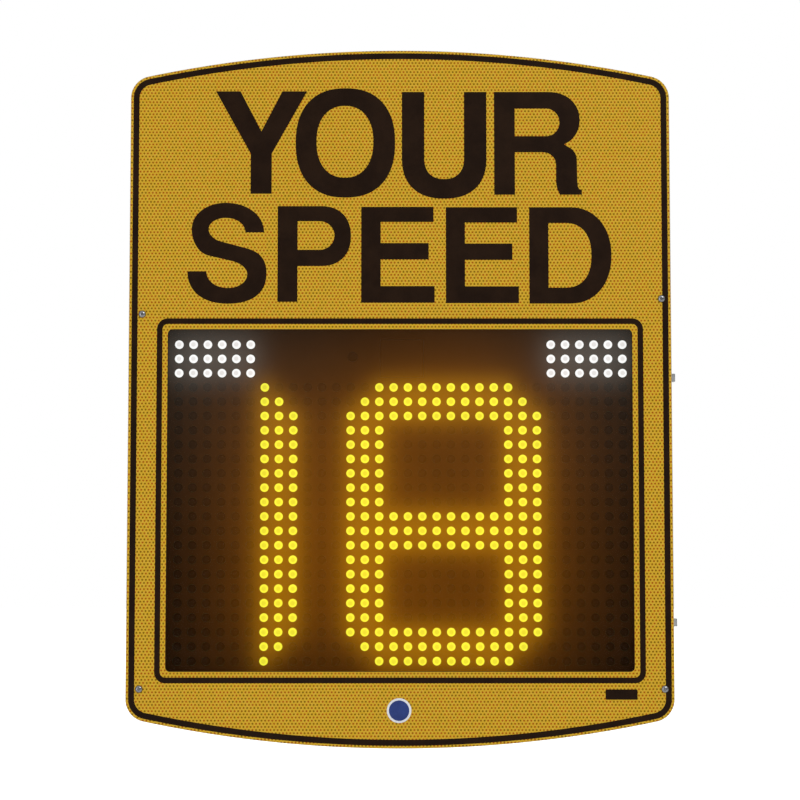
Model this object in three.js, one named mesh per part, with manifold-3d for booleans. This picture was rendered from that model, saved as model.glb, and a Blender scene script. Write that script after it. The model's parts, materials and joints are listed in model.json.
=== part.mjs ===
// Solar-powered radar speed sign: an arched, sheeted aluminium face with an LED display behind a smoked
// window, carried as a hinged door on a sheet-metal cabinet that holds the batteries and the charger, with
// a hat-section bracket that bands to a pole.
//
// Millimetres. X runs to the right of someone facing the sign, Y from the face back to the pole, Z up.
// Sub-parts are drawn from the middle of the face's front surface, and the exported group then puts the
// origin in the middle of the bracket's rear face, where the pole is.

import * as THREE from 'three';
import { mergeVertices } from 'three/addons/utils/BufferGeometryUtils.js';
import Module from 'manifold-3d';

const wasm = await Module();
wasm.setup();

// ---- Driving dimensions ----

const GAP = 0.2; // between faces that touch on the real object
const RUNNING_GAP = 0.3; // round a shaft in its hole

// Face panel and its sheeting
const FACE_WIDTH = 604;
const FACE_HEIGHT = 777;
const EDGE_RADIUS = 1370; // of the crowned top and bottom edges
const CORNER_RADIUS = 25;
const SHEETING = 0.4;
const PANEL = 3;

// Window opening as seen from the front
const WINDOW_X = [-258.4, 258.4];
const WINDOW_Z = [-304.8, 73.8];
const WINDOW_RADIUS = 4.5;

// LED display: a matrix of square cells, with a strobe block in each upper corner
const LED_PITCH = 16;
const LED_COLUMNS = 32;
const LED_ROWS = 20;
const STROBE_COLUMNS = 6;
const STROBE_ROWS = 3;
const MATRIX_X = 0.6; // middle of the matrix
const MATRIX_TOP = 18.25;

// Face screws, as [x, z]
const FACE_SCREWS = {
  upper_left: [-287.1, 90.7],
  upper_right: [291.4, 108],
  lower_left: [-287.1, -323.6],
  lower_right: [291.4, -323.6],
};
const FACE_SCREW_HEAD = 4.4; // radius
const FACE_SCREW_HEIGHT = 2.5;
const FACE_SCREW_SHANK = 2.4;

// Door tray behind the face
const SHEET = 2;
const FLANGE_X = [-299, 299];
const FLANGE_Z = [-337, 121];
const TRAY_X = [-270, 270];
const TRAY_Z = [-318, 88];
const TRAY_REAR = 42;

// Cabinet
const WALL = 2.5;
const CABINET_X = [-290, 297];
const CABINET_Z = [-333, 118];
const CABINET_RADIUS = 6;
const DOOR_SEAL = 3;
const DOOR_SEAL_WIDTH = 5.5;
const CABINET_DEPTH = 126.4;

// Hinges on the left, one above the other
const HINGE_X = -296;
const HINGE_Y = 12;
const HINGE_Z = { upper: 55, lower: -270 };
const HINGE_LENGTH = 66;
const KNUCKLE_RADIUS = 4.2;
const PIN_RADIUS = 2;

// Quarter-turn locks on the right wall
const LOCK_Y = 38;
const LOCK_Z = { upper: 22.3, lower: -252.8 };
const LOCK_HEAD_RADIUS = 11.5;
const LOCK_HEAD_HEIGHT = 9;
const LOCK_DRIVER = 9; // across the square
const LOCK_DRIVER_HEIGHT = 4.6;
const LOCK_BARREL_RADIUS = 9.5;
const CAM_X = [281, 284];
const CAM_HALF_WIDTH = 6;
const CAM_REACH = 24;

// Pole bracket
const BRACKET_DEPTH = 38;
const BRACKET_HEIGHT = 300;
const BRACKET_SHEET = 3;
const BRACKET_WEB = [-30, 30];
const BRACKET_FLANGE = [-60, 60];
const BRACKET_Z = -115; // its middle
const BAND_SLOT = [24, 8]; // height and width of each strap slot
const BAND_SLOT_OFFSET = 100;
const BOLT_X = 45;
const BOLT_OFFSET = 128;

// Batteries: two sealed packs of the common 181 x 77 x 167 size
const BATTERY = [181, 77, 167];
const BATTERY_X = { left: -102, right: 102 }; // middles
const BATTERY_FRONT = 48.4;
const BACKING_PLATE = 4; // thickness
const TRAY_FLOOR = -314;

const SIDES = 24; // of a large cylinder
const FEW_SIDES = 12; // of a small one

// ---- Depths worked out from the stack, each as [front, rear] ----

const layer = (front, thickness) => [front, front + thickness];
const behind = (span, thickness, gap = GAP) => layer(span[1] + gap, thickness);

const SHEETING_Y = layer(0, SHEETING);
const PANEL_Y = behind(SHEETING_Y, PANEL, 0.1);
const FLANGE_Y = behind(PANEL_Y, SHEET);
const WINDOW_SEAL_Y = behind(FLANGE_Y, 0.8);
const PANE_Y = behind(WINDOW_SEAL_Y, 3);
const SPACER_Y = behind(PANE_Y, 1.9);
const MASK_Y = behind(SPACER_Y, 1.5);
const LED_BOARD_Y = layer(15, 1.6);
const DOOR_SEAL_Y = behind(FLANGE_Y, DOOR_SEAL);
const CABINET_Y = behind(DOOR_SEAL_Y, CABINET_DEPTH);
const REAR_WALL_INSIDE = CABINET_Y[1] - WALL;
const COVER_Y = layer(TRAY_REAR + GAP, SHEET);
const BRACKET_Y = behind(CABINET_Y, BRACKET_DEPTH);

// ---- Solids ----

const middle = (span) => (span[0] + span[1]) / 2;
const length = (span) => span[1] - span[0];
const grown = (span, by) => [span[0] - by, span[1] + by];
const about = (centre, size) => [centre - size / 2, centre + size / 2];

function box(x, y, z) {
  const shape = new THREE.BoxGeometry(length(x), length(y), length(z));
  shape.translate(middle(x), middle(y), middle(z));
  return shape;
}

// A rod along one axis. place holds its other two coordinates, in X, Y, Z order.
function rod(axis, place, radius, span, sides = SIDES) {
  const shape = new THREE.CylinderGeometry(radius, radius, length(span), sides);
  if (axis === 'x') {
    shape.rotateZ(Math.PI / 2);
    shape.translate(middle(span), place[0], place[1]);
  } else if (axis === 'y') {
    shape.translate(place[0], middle(span), place[1]);
  } else {
    shape.rotateX(Math.PI / 2);
    shape.translate(place[0], place[1], middle(span));
  }
  return shape;
}

// An outline drawn in X and Z, given thickness along Y.
function plate(outline, y, curveSegments = 4) {
  const settings = { depth: length(y), bevelEnabled: false, curveSegments };
  const shape = new THREE.ExtrudeGeometry(outline, settings);
  shape.rotateX(Math.PI / 2);
  shape.translate(0, y[1], 0);
  return shape;
}

// An outline drawn in Y and Z, given thickness along X.
function sidePlate(outline, x, curveSegments = 6) {
  const settings = { depth: length(x), bevelEnabled: false, curveSegments };
  const shape = new THREE.ExtrudeGeometry(outline, settings);
  shape.rotateX(Math.PI / 2);
  shape.rotateZ(Math.PI / 2);
  shape.translate(x[0], 0, 0);
  return shape;
}

// A solid of revolution about the X axis. profile lists [x, radius] from the axis back to the axis.
function turned(profile, y, z, sides = SIDES) {
  const points = profile.map(([along, radius]) => new THREE.Vector2(radius, along));
  const shape = new THREE.LatheGeometry(points, sides);
  shape.rotateZ(-Math.PI / 2);
  shape.translate(0, y, z);
  return shape;
}

function solid(shape) {
  if (!(shape instanceof THREE.BufferGeometry)) {
    return shape;
  }
  const bare = shape.clone();
  bare.deleteAttribute('normal');
  bare.deleteAttribute('uv');
  const merged = mergeVertices(bare, 1e-4);
  return new wasm.Manifold(new wasm.Mesh({
    numProp: 3,
    vertProperties: new Float32Array(merged.attributes.position.array),
    triVerts: new Uint32Array(merged.index.array),
  }));
}

const join = (...shapes) => shapes.map(solid).reduce((whole, next) => whole.add(next));
const cut = (shape, ...tools) => tools.map(solid).reduce((whole, tool) => whole.subtract(tool), solid(shape));

function surface(shape) {
  if (shape instanceof THREE.BufferGeometry) {
    return shape;
  }
  const { vertProperties, triVerts } = shape.getMesh();
  const result = new THREE.BufferGeometry();
  result.setAttribute('position', new THREE.BufferAttribute(new Float32Array(vertProperties), 3));
  result.setIndex(new THREE.BufferAttribute(new Uint32Array(triVerts), 1));
  result.computeVertexNormals();
  return result;
}

function part(name, shape, finish) {
  const mesh = new THREE.Mesh(surface(shape), new THREE.MeshStandardMaterial(finish));
  mesh.name = name;
  return mesh;
}

// ---- Outlines ----

function roundedRectangle(x, z, radius) {
  const outline = new THREE.Shape();
  outline.moveTo(x[0] + radius, z[0]);
  outline.lineTo(x[1] - radius, z[0]);
  outline.absarc(x[1] - radius, z[0] + radius, radius, -Math.PI / 2, 0);
  outline.absarc(x[1] - radius, z[1] - radius, radius, 0, Math.PI / 2);
  outline.absarc(x[0] + radius, z[1] - radius, radius, Math.PI / 2, Math.PI);
  outline.absarc(x[0] + radius, z[0] + radius, radius, Math.PI, 1.5 * Math.PI);
  return outline;
}

// Straight sides, rounded corners, and a crowned edge at the top and the bottom.
function faceOutline(inset) {
  const radius = CORNER_RADIUS - inset;
  const edge = EDGE_RADIUS - inset;
  const cornerX = FACE_WIDTH / 2 - CORNER_RADIUS;
  const edgeCentre = FACE_HEIGHT / 2 - EDGE_RADIUS;
  const cornerZ = edgeCentre + Math.sqrt((edge - radius) ** 2 - cornerX ** 2);
  const turn = Math.atan2(cornerZ - edgeCentre, cornerX);
  const outline = new THREE.Shape();
  outline.absarc(cornerX, cornerZ, radius, 0, turn);
  outline.absarc(0, edgeCentre, edge, turn, Math.PI - turn);
  outline.absarc(-cornerX, cornerZ, radius, Math.PI - turn, Math.PI);
  outline.absarc(-cornerX, -cornerZ, radius, Math.PI, Math.PI + turn);
  outline.absarc(0, -edgeCentre, edge, Math.PI + turn, 2 * Math.PI - turn);
  outline.absarc(cornerX, -cornerZ, radius, 2 * Math.PI - turn, 2 * Math.PI);
  return outline;
}

// A flat ring: the space between two nested rounded rectangles.
function ring(x, z, width, radius, y) {
  const outline = roundedRectangle(x, z, radius);
  outline.holes.push(roundedRectangle(grown(x, -width), grown(z, -width), Math.max(radius - width, 1)));
  return plate(outline, y);
}

function hexagon(axis, place, acrossFlats, span) {
  return rod(axis, place, acrossFlats / Math.sqrt(3), span, 6);
}

// ---- Finishes ----

const SHEETING_FINISH = { color: 0xcda52d, roughness: 0.35, metalness: 0 };
const BARE_ALUMINIUM = { color: 0xb9bcc0, roughness: 0.4, metalness: 1 };
const POWDER_COAT = { color: 0x8d9194, roughness: 0.55, metalness: 0 };
const STAINLESS = { color: 0xc2c3c5, roughness: 0.3, metalness: 1 };
const ZINC = { color: 0xb4b6b2, roughness: 0.45, metalness: 1 };
const BLACK_RUBBER = { color: 0x17181a, roughness: 0.8, metalness: 0 };
const SMOKED_PLASTIC = { color: 0x30241c, roughness: 0.08, metalness: 0, transparent: true, opacity: 0.45 };
const MASK_BLACK = { color: 0x171310, roughness: 0.7, metalness: 0 };
const BOARD_GREEN = { color: 0x1d4a2c, roughness: 0.5, metalness: 0 };
const BLACK_PLASTIC = { color: 0x1b1c1e, roughness: 0.45, metalness: 0 };
const GREY_PLASTIC = { color: 0x6f7478, roughness: 0.5, metalness: 0 };
const BATTERY_BLUE = { color: 0x2b4768, roughness: 0.4, metalness: 0 };
const SWITCH_RED = { color: 0xa51d1a, roughness: 0.35, metalness: 0 };

// ---- Face ----

const PANEL_OPENING_X = grown(WINDOW_X, 0.9);
const PANEL_OPENING_Z = grown(WINDOW_Z, 0.9);

function facePlate(inset, y) {
  const outline = faceOutline(inset);
  outline.holes.push(roundedRectangle(PANEL_OPENING_X, PANEL_OPENING_Z, WINDOW_RADIUS + 0.9));
  const holes = Object.values(FACE_SCREWS).map((place) => (
    rod('y', place, FACE_SCREW_SHANK + RUNNING_GAP, grown(y, 1), FEW_SIDES)
  ));
  return cut(plate(outline, y, 12), ...holes);
}

function faceScrew([x, z]) {
  const head = rod('y', [x, z], FACE_SCREW_HEAD, [-FACE_SCREW_HEIGHT, -0.1], FEW_SIDES);
  const shank = rod('y', [x, z], FACE_SCREW_SHANK, [-1, FLANGE_Y[1] - 0.1], FEW_SIDES);
  const socket = hexagon('y', [x, z], 3, [-FACE_SCREW_HEIGHT - 1, -FACE_SCREW_HEIGHT + 1.5]);
  return cut(join(head, shank), socket);
}

// Two upright angles and a cross angle behind the arched header of the face.
function headerStiffener() {
  const foot = layer(FLANGE_Y[0], SHEET);
  const web = layer(FLANGE_Y[0], 14);
  const bars = [-1, 1].flatMap((side) => [
    box(about(side * 205, 26), foot, [FLANGE_Z[1] + 3, 332]),
    box(about(side * 193, SHEET), web, [FLANGE_Z[1] + 3, 332]),
  ]);
  const cross = [box([-193, 193], foot, about(318, 26)), box([-193, 193], web, about(306, SHEET))];
  return join(...bars, ...cross);
}

function faceParts() {
  const screws = Object.entries(FACE_SCREWS).map(([where, place]) => (
    part(`face_screw_${where}`, faceScrew(place), STAINLESS)
  ));
  return [
    part('reflective_sheeting', facePlate(0.4, SHEETING_Y), SHEETING_FINISH),
    part('face_panel', facePlate(0, PANEL_Y), BARE_ALUMINIUM),
    part('header_stiffener', headerStiffener(), BARE_ALUMINIUM),
    ...screws,
  ];
}

// ---- Window and display ----

const FLANGE_OPENING_X = grown(WINDOW_X, 3.6);
const FLANGE_OPENING_Z = grown(WINDOW_Z, 3.6);
const PANE_X = grown(TRAY_X, -SHEET - 1);
const PANE_Z = grown(TRAY_Z, -SHEET - 1);

// A thin lip lines the cut edge of the face, and a flat ring behind it seals the pane.
function windowSeal() {
  const lip = ring(grown(WINDOW_X, 0.7), grown(WINDOW_Z, 0.7), 0.7, WINDOW_RADIUS + 0.7, [0.6, WINDOW_SEAL_Y[1]]);
  const flat = roundedRectangle(PANE_X, PANE_Z, 3);
  flat.holes.push(roundedRectangle(WINDOW_X, WINDOW_Z, WINDOW_RADIUS));
  return join(lip, plate(flat, WINDOW_SEAL_Y));
}

const RADAR = { x: about(2, 48), z: about(42, 42), front: 12.9, depth: 16 };
const SENSOR = { place: [-53, 44], radius: 5.6, front: 12.9, depth: 10 };

function displayMask() {
  const sheet = box(PANE_X, MASK_Y, PANE_Z);
  const radarOpening = box(grown(RADAR.x, 0.5), grown(MASK_Y, 1), grown(RADAR.z, 0.5));
  const sensorHole = rod('y', SENSOR.place, SENSOR.radius + 0.5, grown(MASK_Y, 1));
  return cut(sheet, radarOpening, sensorHole);
}

// A circuit board with a header socket and a driver chip cooler on its back.
function ledBoard(x, z) {
  const board = box(grown(x, -GAP), LED_BOARD_Y, grown(z, -GAP));
  const backs = layer(LED_BOARD_Y[1] - 0.2, 9);
  const socket = box(about(middle(x), 34), backs, about(z[1] - 14, 9));
  const cooler = box(about(middle(x), 18), layer(backs[0], 5), about(z[0] + 14, 12));
  return join(board, socket, cooler);
}

function ledBoards() {
  const halfWidth = (LED_PITCH * LED_COLUMNS) / 2;
  const halfHeight = (LED_PITCH * LED_ROWS) / 2;
  const columns = { left: [MATRIX_X - halfWidth, MATRIX_X], right: [MATRIX_X, MATRIX_X + halfWidth] };
  const rows = {
    upper: [MATRIX_TOP - halfHeight, MATRIX_TOP],
    lower: [MATRIX_TOP - 2 * halfHeight, MATRIX_TOP - halfHeight],
  };
  const strobeWidth = LED_PITCH * STROBE_COLUMNS;
  const strobes = {
    left: layer(MATRIX_X - halfWidth, strobeWidth),
    right: [MATRIX_X + halfWidth - strobeWidth, MATRIX_X + halfWidth],
  };
  const strobeZ = layer(MATRIX_TOP, LED_PITCH * STROBE_ROWS);
  const matrix = Object.entries(rows).flatMap(([row, z]) => (
    Object.entries(columns).map(([side, x]) => part(`led_board_${row}_${side}`, ledBoard(x, z), BOARD_GREEN))
  ));
  const strobe = Object.entries(strobes).map(([side, x]) => (
    part(`strobe_board_${side}`, ledBoard(x, strobeZ), BOARD_GREEN)
  ));
  return [...matrix, ...strobe];
}

function radarModule() {
  const board = box(RADAR.x, layer(RADAR.front, 1.6), RADAR.z);
  const can = box(grown(RADAR.x, -6), [RADAR.front + 1, RADAR.front + RADAR.depth], grown(RADAR.z, -5));
  return join(board, can);
}

function lightSensor() {
  const { place, radius, front, depth } = SENSOR;
  const barrel = rod('y', place, radius, layer(front, depth));
  const foot = box(about(place[0], 20), layer(front + depth - 2, 2), about(place[1], 16));
  return join(barrel, foot);
}

function displayCover() {
  const sheet = box(grown(TRAY_X, -0.5), COVER_Y, grown(TRAY_Z, -0.5));
  const vent = box(about(0, 120), grown(COVER_Y, 1), about(-60, 6));
  return cut(sheet, vent);
}

// The computer that reads the radar and drives the boards, with its terminal strip along the bottom.
function signController() {
  const x = about(0, 150);
  const z = about(20, 90);
  const lid = box(x, layer(COVER_Y[1] + GAP, 20), z);
  const strip = box(about(0, 110), layer(COVER_Y[1] + GAP, 13), [z[0] - 10, z[0] + 1]);
  return join(lid, strip);
}

function displayParts() {
  return [
    part('window_seal', windowSeal(), BLACK_RUBBER),
    part('window_pane', box(PANE_X, PANE_Y, PANE_Z), SMOKED_PLASTIC),
    part('window_spacer', ring(PANE_X, PANE_Z, 6, 3, SPACER_Y), BLACK_RUBBER),
    part('display_mask', displayMask(), MASK_BLACK),
    ...ledBoards(),
    part('radar_module', radarModule(), BOARD_GREEN),
    part('light_sensor', lightSensor(), BLACK_PLASTIC),
    part('display_cover', displayCover(), POWDER_COAT),
    part('sign_controller', signController(), GREY_PLASTIC),
  ];
}

// ---- Door tray, strikes and hinges ----

function doorFrame() {
  const flange = roundedRectangle(FLANGE_X, FLANGE_Z, 8);
  flange.holes.push(roundedRectangle(FLANGE_OPENING_X, FLANGE_OPENING_Z, 8));
  const walls = ring(TRAY_X, TRAY_Z, SHEET, 4, [FLANGE_Y[0] + 0.5, TRAY_REAR]);
  const holes = Object.values(FACE_SCREWS).map((place) => (
    rod('y', place, FACE_SCREW_SHANK + RUNNING_GAP, grown(FLANGE_Y, 1), FEW_SIDES)
  ));
  return cut(join(plate(flange, FLANGE_Y), walls), ...holes);
}

// An arm on the door tray's right wall, with a lip turned out behind the lock's cam.
function strike(lockZ) {
  const z = [lockZ + 8, lockZ + CAM_REACH + 2];
  const lipY = layer(LOCK_Y + CAM_HALF_WIDTH + 0.5, SHEET);
  const arm = box(layer(TRAY_X[1] + GAP, SHEET), [20, lipY[1]], z);
  const lip = box([TRAY_X[1] + GAP, CAM_X[1] + 2], lipY, z);
  return join(arm, lip);
}

// Each hinge has three knuckles on one pin: the outer two on the cabinet's leaf, the middle one on the door's.
function hingeParts(where, centre) {
  const third = HINGE_LENGTH / 3;
  const axis = [HINGE_X, HINGE_Y];
  const bore = rod('z', axis, PIN_RADIUS + RUNNING_GAP, about(centre, HINGE_LENGTH + 2), FEW_SIDES);
  const knuckle = (span) => rod('z', axis, KNUCKLE_RADIUS, span, FEW_SIDES);
  const middleSpan = about(centre, third - 0.6);
  const outerSpans = [about(centre - third, third), about(centre + third, third)];
  const doorWing = box(about(HINGE_X, 6), [FLANGE_Y[1] + GAP, HINGE_Y - 2], middleSpan);
  const leafX = [CABINET_X[0] - GAP - 1.6, CABINET_X[0] - GAP];
  const leaf = box(leafX, [HINGE_Y + 5, 42], about(centre, HINGE_LENGTH));
  const wings = outerSpans.map((span) => box([HINGE_X + 2.5, leafX[1]], [HINGE_Y, HINGE_Y + 6], span));
  const pin = rod('z', axis, PIN_RADIUS, about(centre, HINGE_LENGTH + 1), FEW_SIDES);
  const caps = [-1, 1].map((end) => (
    rod('z', axis, 3.2, about(centre + end * (HINGE_LENGTH / 2 + 1), 1.4), FEW_SIDES)
  ));
  return [
    part(`hinge_${where}_door_leaf`, cut(join(knuckle(middleSpan), doorWing), bore), STAINLESS),
    part(`hinge_${where}_cabinet_leaf`, cut(join(...outerSpans.map(knuckle), leaf, ...wings), bore), STAINLESS),
    part(`hinge_${where}_pin`, join(pin, ...caps), STAINLESS),
  ];
}

function doorParts() {
  return [
    part('door_frame', doorFrame(), POWDER_COAT),
    ...Object.entries(LOCK_Z).map(([where, z]) => part(`strike_${where}`, strike(z), ZINC)),
    ...Object.entries(HINGE_Z).flatMap(([where, z]) => hingeParts(where, z)),
  ];
}

// ---- Locks ----

function lockParts(where, z) {
  const wallOutside = CABINET_X[1];
  const headTop = wallOutside + LOCK_HEAD_HEIGHT;
  const barrelEnd = CAM_X[1] + 5;
  const housing = turned([
    [barrelEnd, 0],
    [barrelEnd, LOCK_BARREL_RADIUS],
    [wallOutside + GAP, LOCK_BARREL_RADIUS],
    [wallOutside + GAP, 14],
    [wallOutside + 2.6, 14],
    [wallOutside + 3.4, 13.2],
    [wallOutside + 3.4, LOCK_HEAD_RADIUS],
    [headTop - 4, LOCK_HEAD_RADIUS],
    [headTop - 2.2, LOCK_HEAD_RADIUS - 1],
    [headTop - 0.8, LOCK_HEAD_RADIUS - 3],
    [headTop, LOCK_HEAD_RADIUS - 5],
    [headTop, 0],
  ], LOCK_Y, z);
  const shaft = 4;
  const bore = rod('x', [LOCK_Y, z], shaft + RUNNING_GAP, [barrelEnd - 1, headTop + 1], FEW_SIDES);
  const driver = box(
    layer(headTop + RUNNING_GAP, LOCK_DRIVER_HEIGHT),
    about(LOCK_Y, LOCK_DRIVER),
    about(z, LOCK_DRIVER),
  );
  const spindle = rod('x', [LOCK_Y, z], shaft, [CAM_X[0] - 1, headTop + 1], FEW_SIDES);
  const retainer = rod('x', [LOCK_Y, z], 5.6, [CAM_X[0] - 2.6, CAM_X[0] - GAP], FEW_SIDES);
  const nutX = [CABINET_X[1] - WALL - GAP - 3.2, CABINET_X[1] - WALL - GAP];
  const threadClearance = rod('x', [LOCK_Y, z], LOCK_BARREL_RADIUS + RUNNING_GAP, grown(nutX, 1));
  const nut = cut(hexagon('x', [LOCK_Y, z], 27, nutX), threadClearance);
  return [
    part(`lock_${where}_housing`, cut(housing, bore), STAINLESS),
    part(`lock_${where}_nut`, nut, ZINC),
    part(`lock_${where}_spindle`, join(spindle, driver, retainer), STAINLESS),
    part(`lock_${where}_cam`, lockCam(z, shaft), ZINC),
  ];
}

// A flat finger with a round heel, pointing up when the door is locked.
function lockCam(z, shaft) {
  const outline = new THREE.Shape();
  outline.absarc(LOCK_Y, z, CAM_HALF_WIDTH + 1.5, Math.PI, 2 * Math.PI);
  outline.lineTo(LOCK_Y + CAM_HALF_WIDTH, z + 6);
  outline.lineTo(LOCK_Y + CAM_HALF_WIDTH, z + CAM_REACH - 3);
  outline.lineTo(LOCK_Y + CAM_HALF_WIDTH - 3, z + CAM_REACH);
  outline.lineTo(LOCK_Y - CAM_HALF_WIDTH + 3, z + CAM_REACH);
  outline.lineTo(LOCK_Y - CAM_HALF_WIDTH, z + CAM_REACH - 3);
  outline.lineTo(LOCK_Y - CAM_HALF_WIDTH, z + 6);
  const hole = rod('x', [LOCK_Y, z], shaft + RUNNING_GAP, grown(CAM_X, 1), FEW_SIDES);
  return cut(sidePlate(outline, CAM_X), hole);
}

// ---- Cabinet ----

const GLAND = [-245, 70]; // x and y of the cable gland in the floor
const VENT = [245, 70]; // x and y of the vent plug in the floor
const FLOOR_OUTSIDE = CABINET_Z[0];

const boltPlaces = [-1, 1].flatMap((side) => [-1, 1].map((end) => [side * BOLT_X, BRACKET_Z + end * BOLT_OFFSET]));

function cabinetShell() {
  const outside = plate(roundedRectangle(CABINET_X, CABINET_Z, CABINET_RADIUS), CABINET_Y);
  const inside = plate(
    roundedRectangle(grown(CABINET_X, -WALL), grown(CABINET_Z, -WALL), CABINET_RADIUS - WALL),
    [CABINET_Y[0] - 1, REAR_WALL_INSIDE],
  );
  const floorSpan = grown([FLOOR_OUTSIDE, FLOOR_OUTSIDE + WALL], 1);
  const wallSpan = grown([CABINET_X[1] - WALL, CABINET_X[1]], 1);
  const rearSpan = grown([REAR_WALL_INSIDE, CABINET_Y[1]], 1);
  return cut(
    outside,
    inside,
    rod('z', GLAND, 8.3, floorSpan, FEW_SIDES),
    rod('z', VENT, 6.3, floorSpan, FEW_SIDES),
    ...Object.values(LOCK_Z).map((z) => rod('x', [LOCK_Y, z], LOCK_BARREL_RADIUS + RUNNING_GAP, wallSpan)),
    ...boltPlaces.map((place) => rod('y', place, 4.4, rearSpan, FEW_SIDES)),
  );
}

function glandParts() {
  const [x, y] = GLAND;
  const outside = FLOOR_OUTSIDE - GAP;
  const inside = FLOOR_OUTSIDE + WALL + GAP;
  const barrel = rod('z', GLAND, 8, [outside - 12, inside + 9], FEW_SIDES);
  const collar = hexagon('z', GLAND, 24, [outside - 5, outside]);
  const way = rod('z', GLAND, 4.5, [outside - 40, inside + 20], FEW_SIDES);
  const dome = rod('z', [x, y], 11.5, [outside - 22, outside - 5.3]);
  const domeHollow = rod('z', [x, y], 8.3, [outside - 12.3, outside - 5], FEW_SIDES);
  const nut = hexagon('z', GLAND, 24, layer(inside, 5));
  const nutHole = rod('z', GLAND, 8.3, layer(inside - 1, 7), FEW_SIDES);
  return [
    part('cable_gland_body', cut(join(barrel, collar), way), BLACK_PLASTIC),
    part('cable_gland_cap', cut(dome, domeHollow, way), BLACK_PLASTIC),
    part('cable_gland_nut', cut(nut, nutHole), BLACK_PLASTIC),
  ];
}

function ventPlug() {
  const barrel = rod('z', VENT, 6, [FLOOR_OUTSIDE - GAP - 1, FLOOR_OUTSIDE + WALL + 6], FEW_SIDES);
  const cap = rod('z', VENT, 10, [FLOOR_OUTSIDE - GAP - 6, FLOOR_OUTSIDE - GAP]);
  return join(barrel, cap);
}

function cabinetParts() {
  return [
    part('cabinet_shell', cabinetShell(), POWDER_COAT),
    part('door_seal', ring(CABINET_X, CABINET_Z, DOOR_SEAL_WIDTH, CABINET_RADIUS, DOOR_SEAL_Y), BLACK_RUBBER),
    ...glandParts(),
    part('vent_plug', ventPlug(), BLACK_PLASTIC),
    ...Object.entries(LOCK_Z).flatMap(([where, z]) => lockParts(where, z)),
  ];
}

// ---- Power: batteries, charger, fuses and switch ----

const BATTERY_Y = layer(BATTERY_FRONT, BATTERY[1]);
const BATTERY_Z = layer(TRAY_FLOOR + GAP, BATTERY[2]);

function battery(centre) {
  const body = box(about(centre, BATTERY[0]), BATTERY_Y, BATTERY_Z);
  const posts = [-1, 1].map((side) => (
    box(about(centre + side * 76, 12), layer(BATTERY_Y[0] + 8, 12), [BATTERY_Z[1] - 1, BATTERY_Z[1] + 6])
  ));
  return join(body, ...posts);
}

function batteryTray() {
  const reach = 205;
  const x = [-reach, reach];
  const rear = REAR_WALL_INSIDE - GAP;
  const floor = box(x, [BATTERY_FRONT - GAP - SHEET, rear], [TRAY_FLOOR - SHEET, TRAY_FLOOR]);
  const lip = box(x, layer(BATTERY_FRONT - GAP - SHEET, SHEET), [TRAY_FLOOR - SHEET, TRAY_FLOOR + 18]);
  const legZ = [FLOOR_OUTSIDE + WALL + GAP, TRAY_FLOOR];
  const legs = [-1, 1].map((side) => box(about(side * (reach - 1), SHEET), [60, 118], legZ));
  return join(floor, lip, ...legs);
}

// A flat bar over the tops of the batteries, with a tab turned up against the rear wall.
function batteryClamp() {
  const x = [-170, 170];
  const rear = REAR_WALL_INSIDE - GAP;
  const bar = box(x, [84, rear], layer(BATTERY_Z[1] + GAP, 2.5));
  const tab = box(x, [rear - 2.5, rear], layer(BATTERY_Z[1] + GAP, 24));
  return join(bar, tab);
}

function chargeController() {
  const x = [-205, -75];
  const rear = REAR_WALL_INSIDE - GAP;
  const base = box(x, [rear - 3, rear], [0, 92]);
  const body = box(grown(x, -10), [rear - 34, rear - 1], [12, 92]);
  const terminals = box(grown(x, -20), [rear - 20, rear - 1], [2, 14]);
  const fins = [0, 1, 2, 3, 4].map((row) => box(grown(x, -14), [rear - 40, rear - 33], layer(24 + 14 * row, 3)));
  return join(base, body, terminals, ...fins);
}

function fuseBlock() {
  const x = [70, 150];
  const rear = REAR_WALL_INSIDE - GAP;
  const base = box(x, [rear - 12, rear], [20, 60]);
  const fuses = [0, 1, 2].map((slot) => box(layer(x[0] + 8 + 24 * slot, 14), [rear - 28, rear - 11], [30, 50]));
  return join(base, ...fuses);
}

const SWITCH = { x: 200, z: 40, front: 98 };
const ROCKER_PIVOT = SWITCH.front + 2.5;
const ROCKER_TILT = THREE.MathUtils.degToRad(10);

function switchHousing() {
  const body = box(about(SWITCH.x, 46), [SWITCH.front, REAR_WALL_INSIDE - GAP], about(SWITCH.z, 62));
  const pocket = box(about(SWITCH.x, 18.8), [SWITCH.front - 1, SWITCH.front + 10], about(SWITCH.z, 27.4));
  return cut(body, pocket);
}

// A shallow vee that tips about the middle of its length, standing at its on side.
function switchRocker() {
  const outline = new THREE.Shape();
  outline.moveTo(-3.5, -12.4);
  outline.lineTo(0, -12.4);
  outline.lineTo(4, -4);
  outline.lineTo(4, 4);
  outline.lineTo(0, 12.4);
  outline.lineTo(-3.5, 12.4);
  outline.lineTo(-6, 0);
  const shape = sidePlate(outline, about(0, 18));
  shape.rotateX(-ROCKER_TILT);
  shape.translate(SWITCH.x, ROCKER_PIVOT, SWITCH.z);
  return shape;
}

function powerParts() {
  return [
    ...Object.entries(BATTERY_X).map(([side, x]) => part(`battery_${side}`, battery(x), BATTERY_BLUE)),
    part('battery_tray', batteryTray(), ZINC),
    part('battery_clamp', batteryClamp(), ZINC),
    part('charge_controller', chargeController(), GREY_PLASTIC),
    part('fuse_block', fuseBlock(), BLACK_PLASTIC),
    part('switch_housing', switchHousing(), GREY_PLASTIC),
    part('switch_rocker', switchRocker(), SWITCH_RED),
  ];
}

// ---- Pole bracket ----

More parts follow.
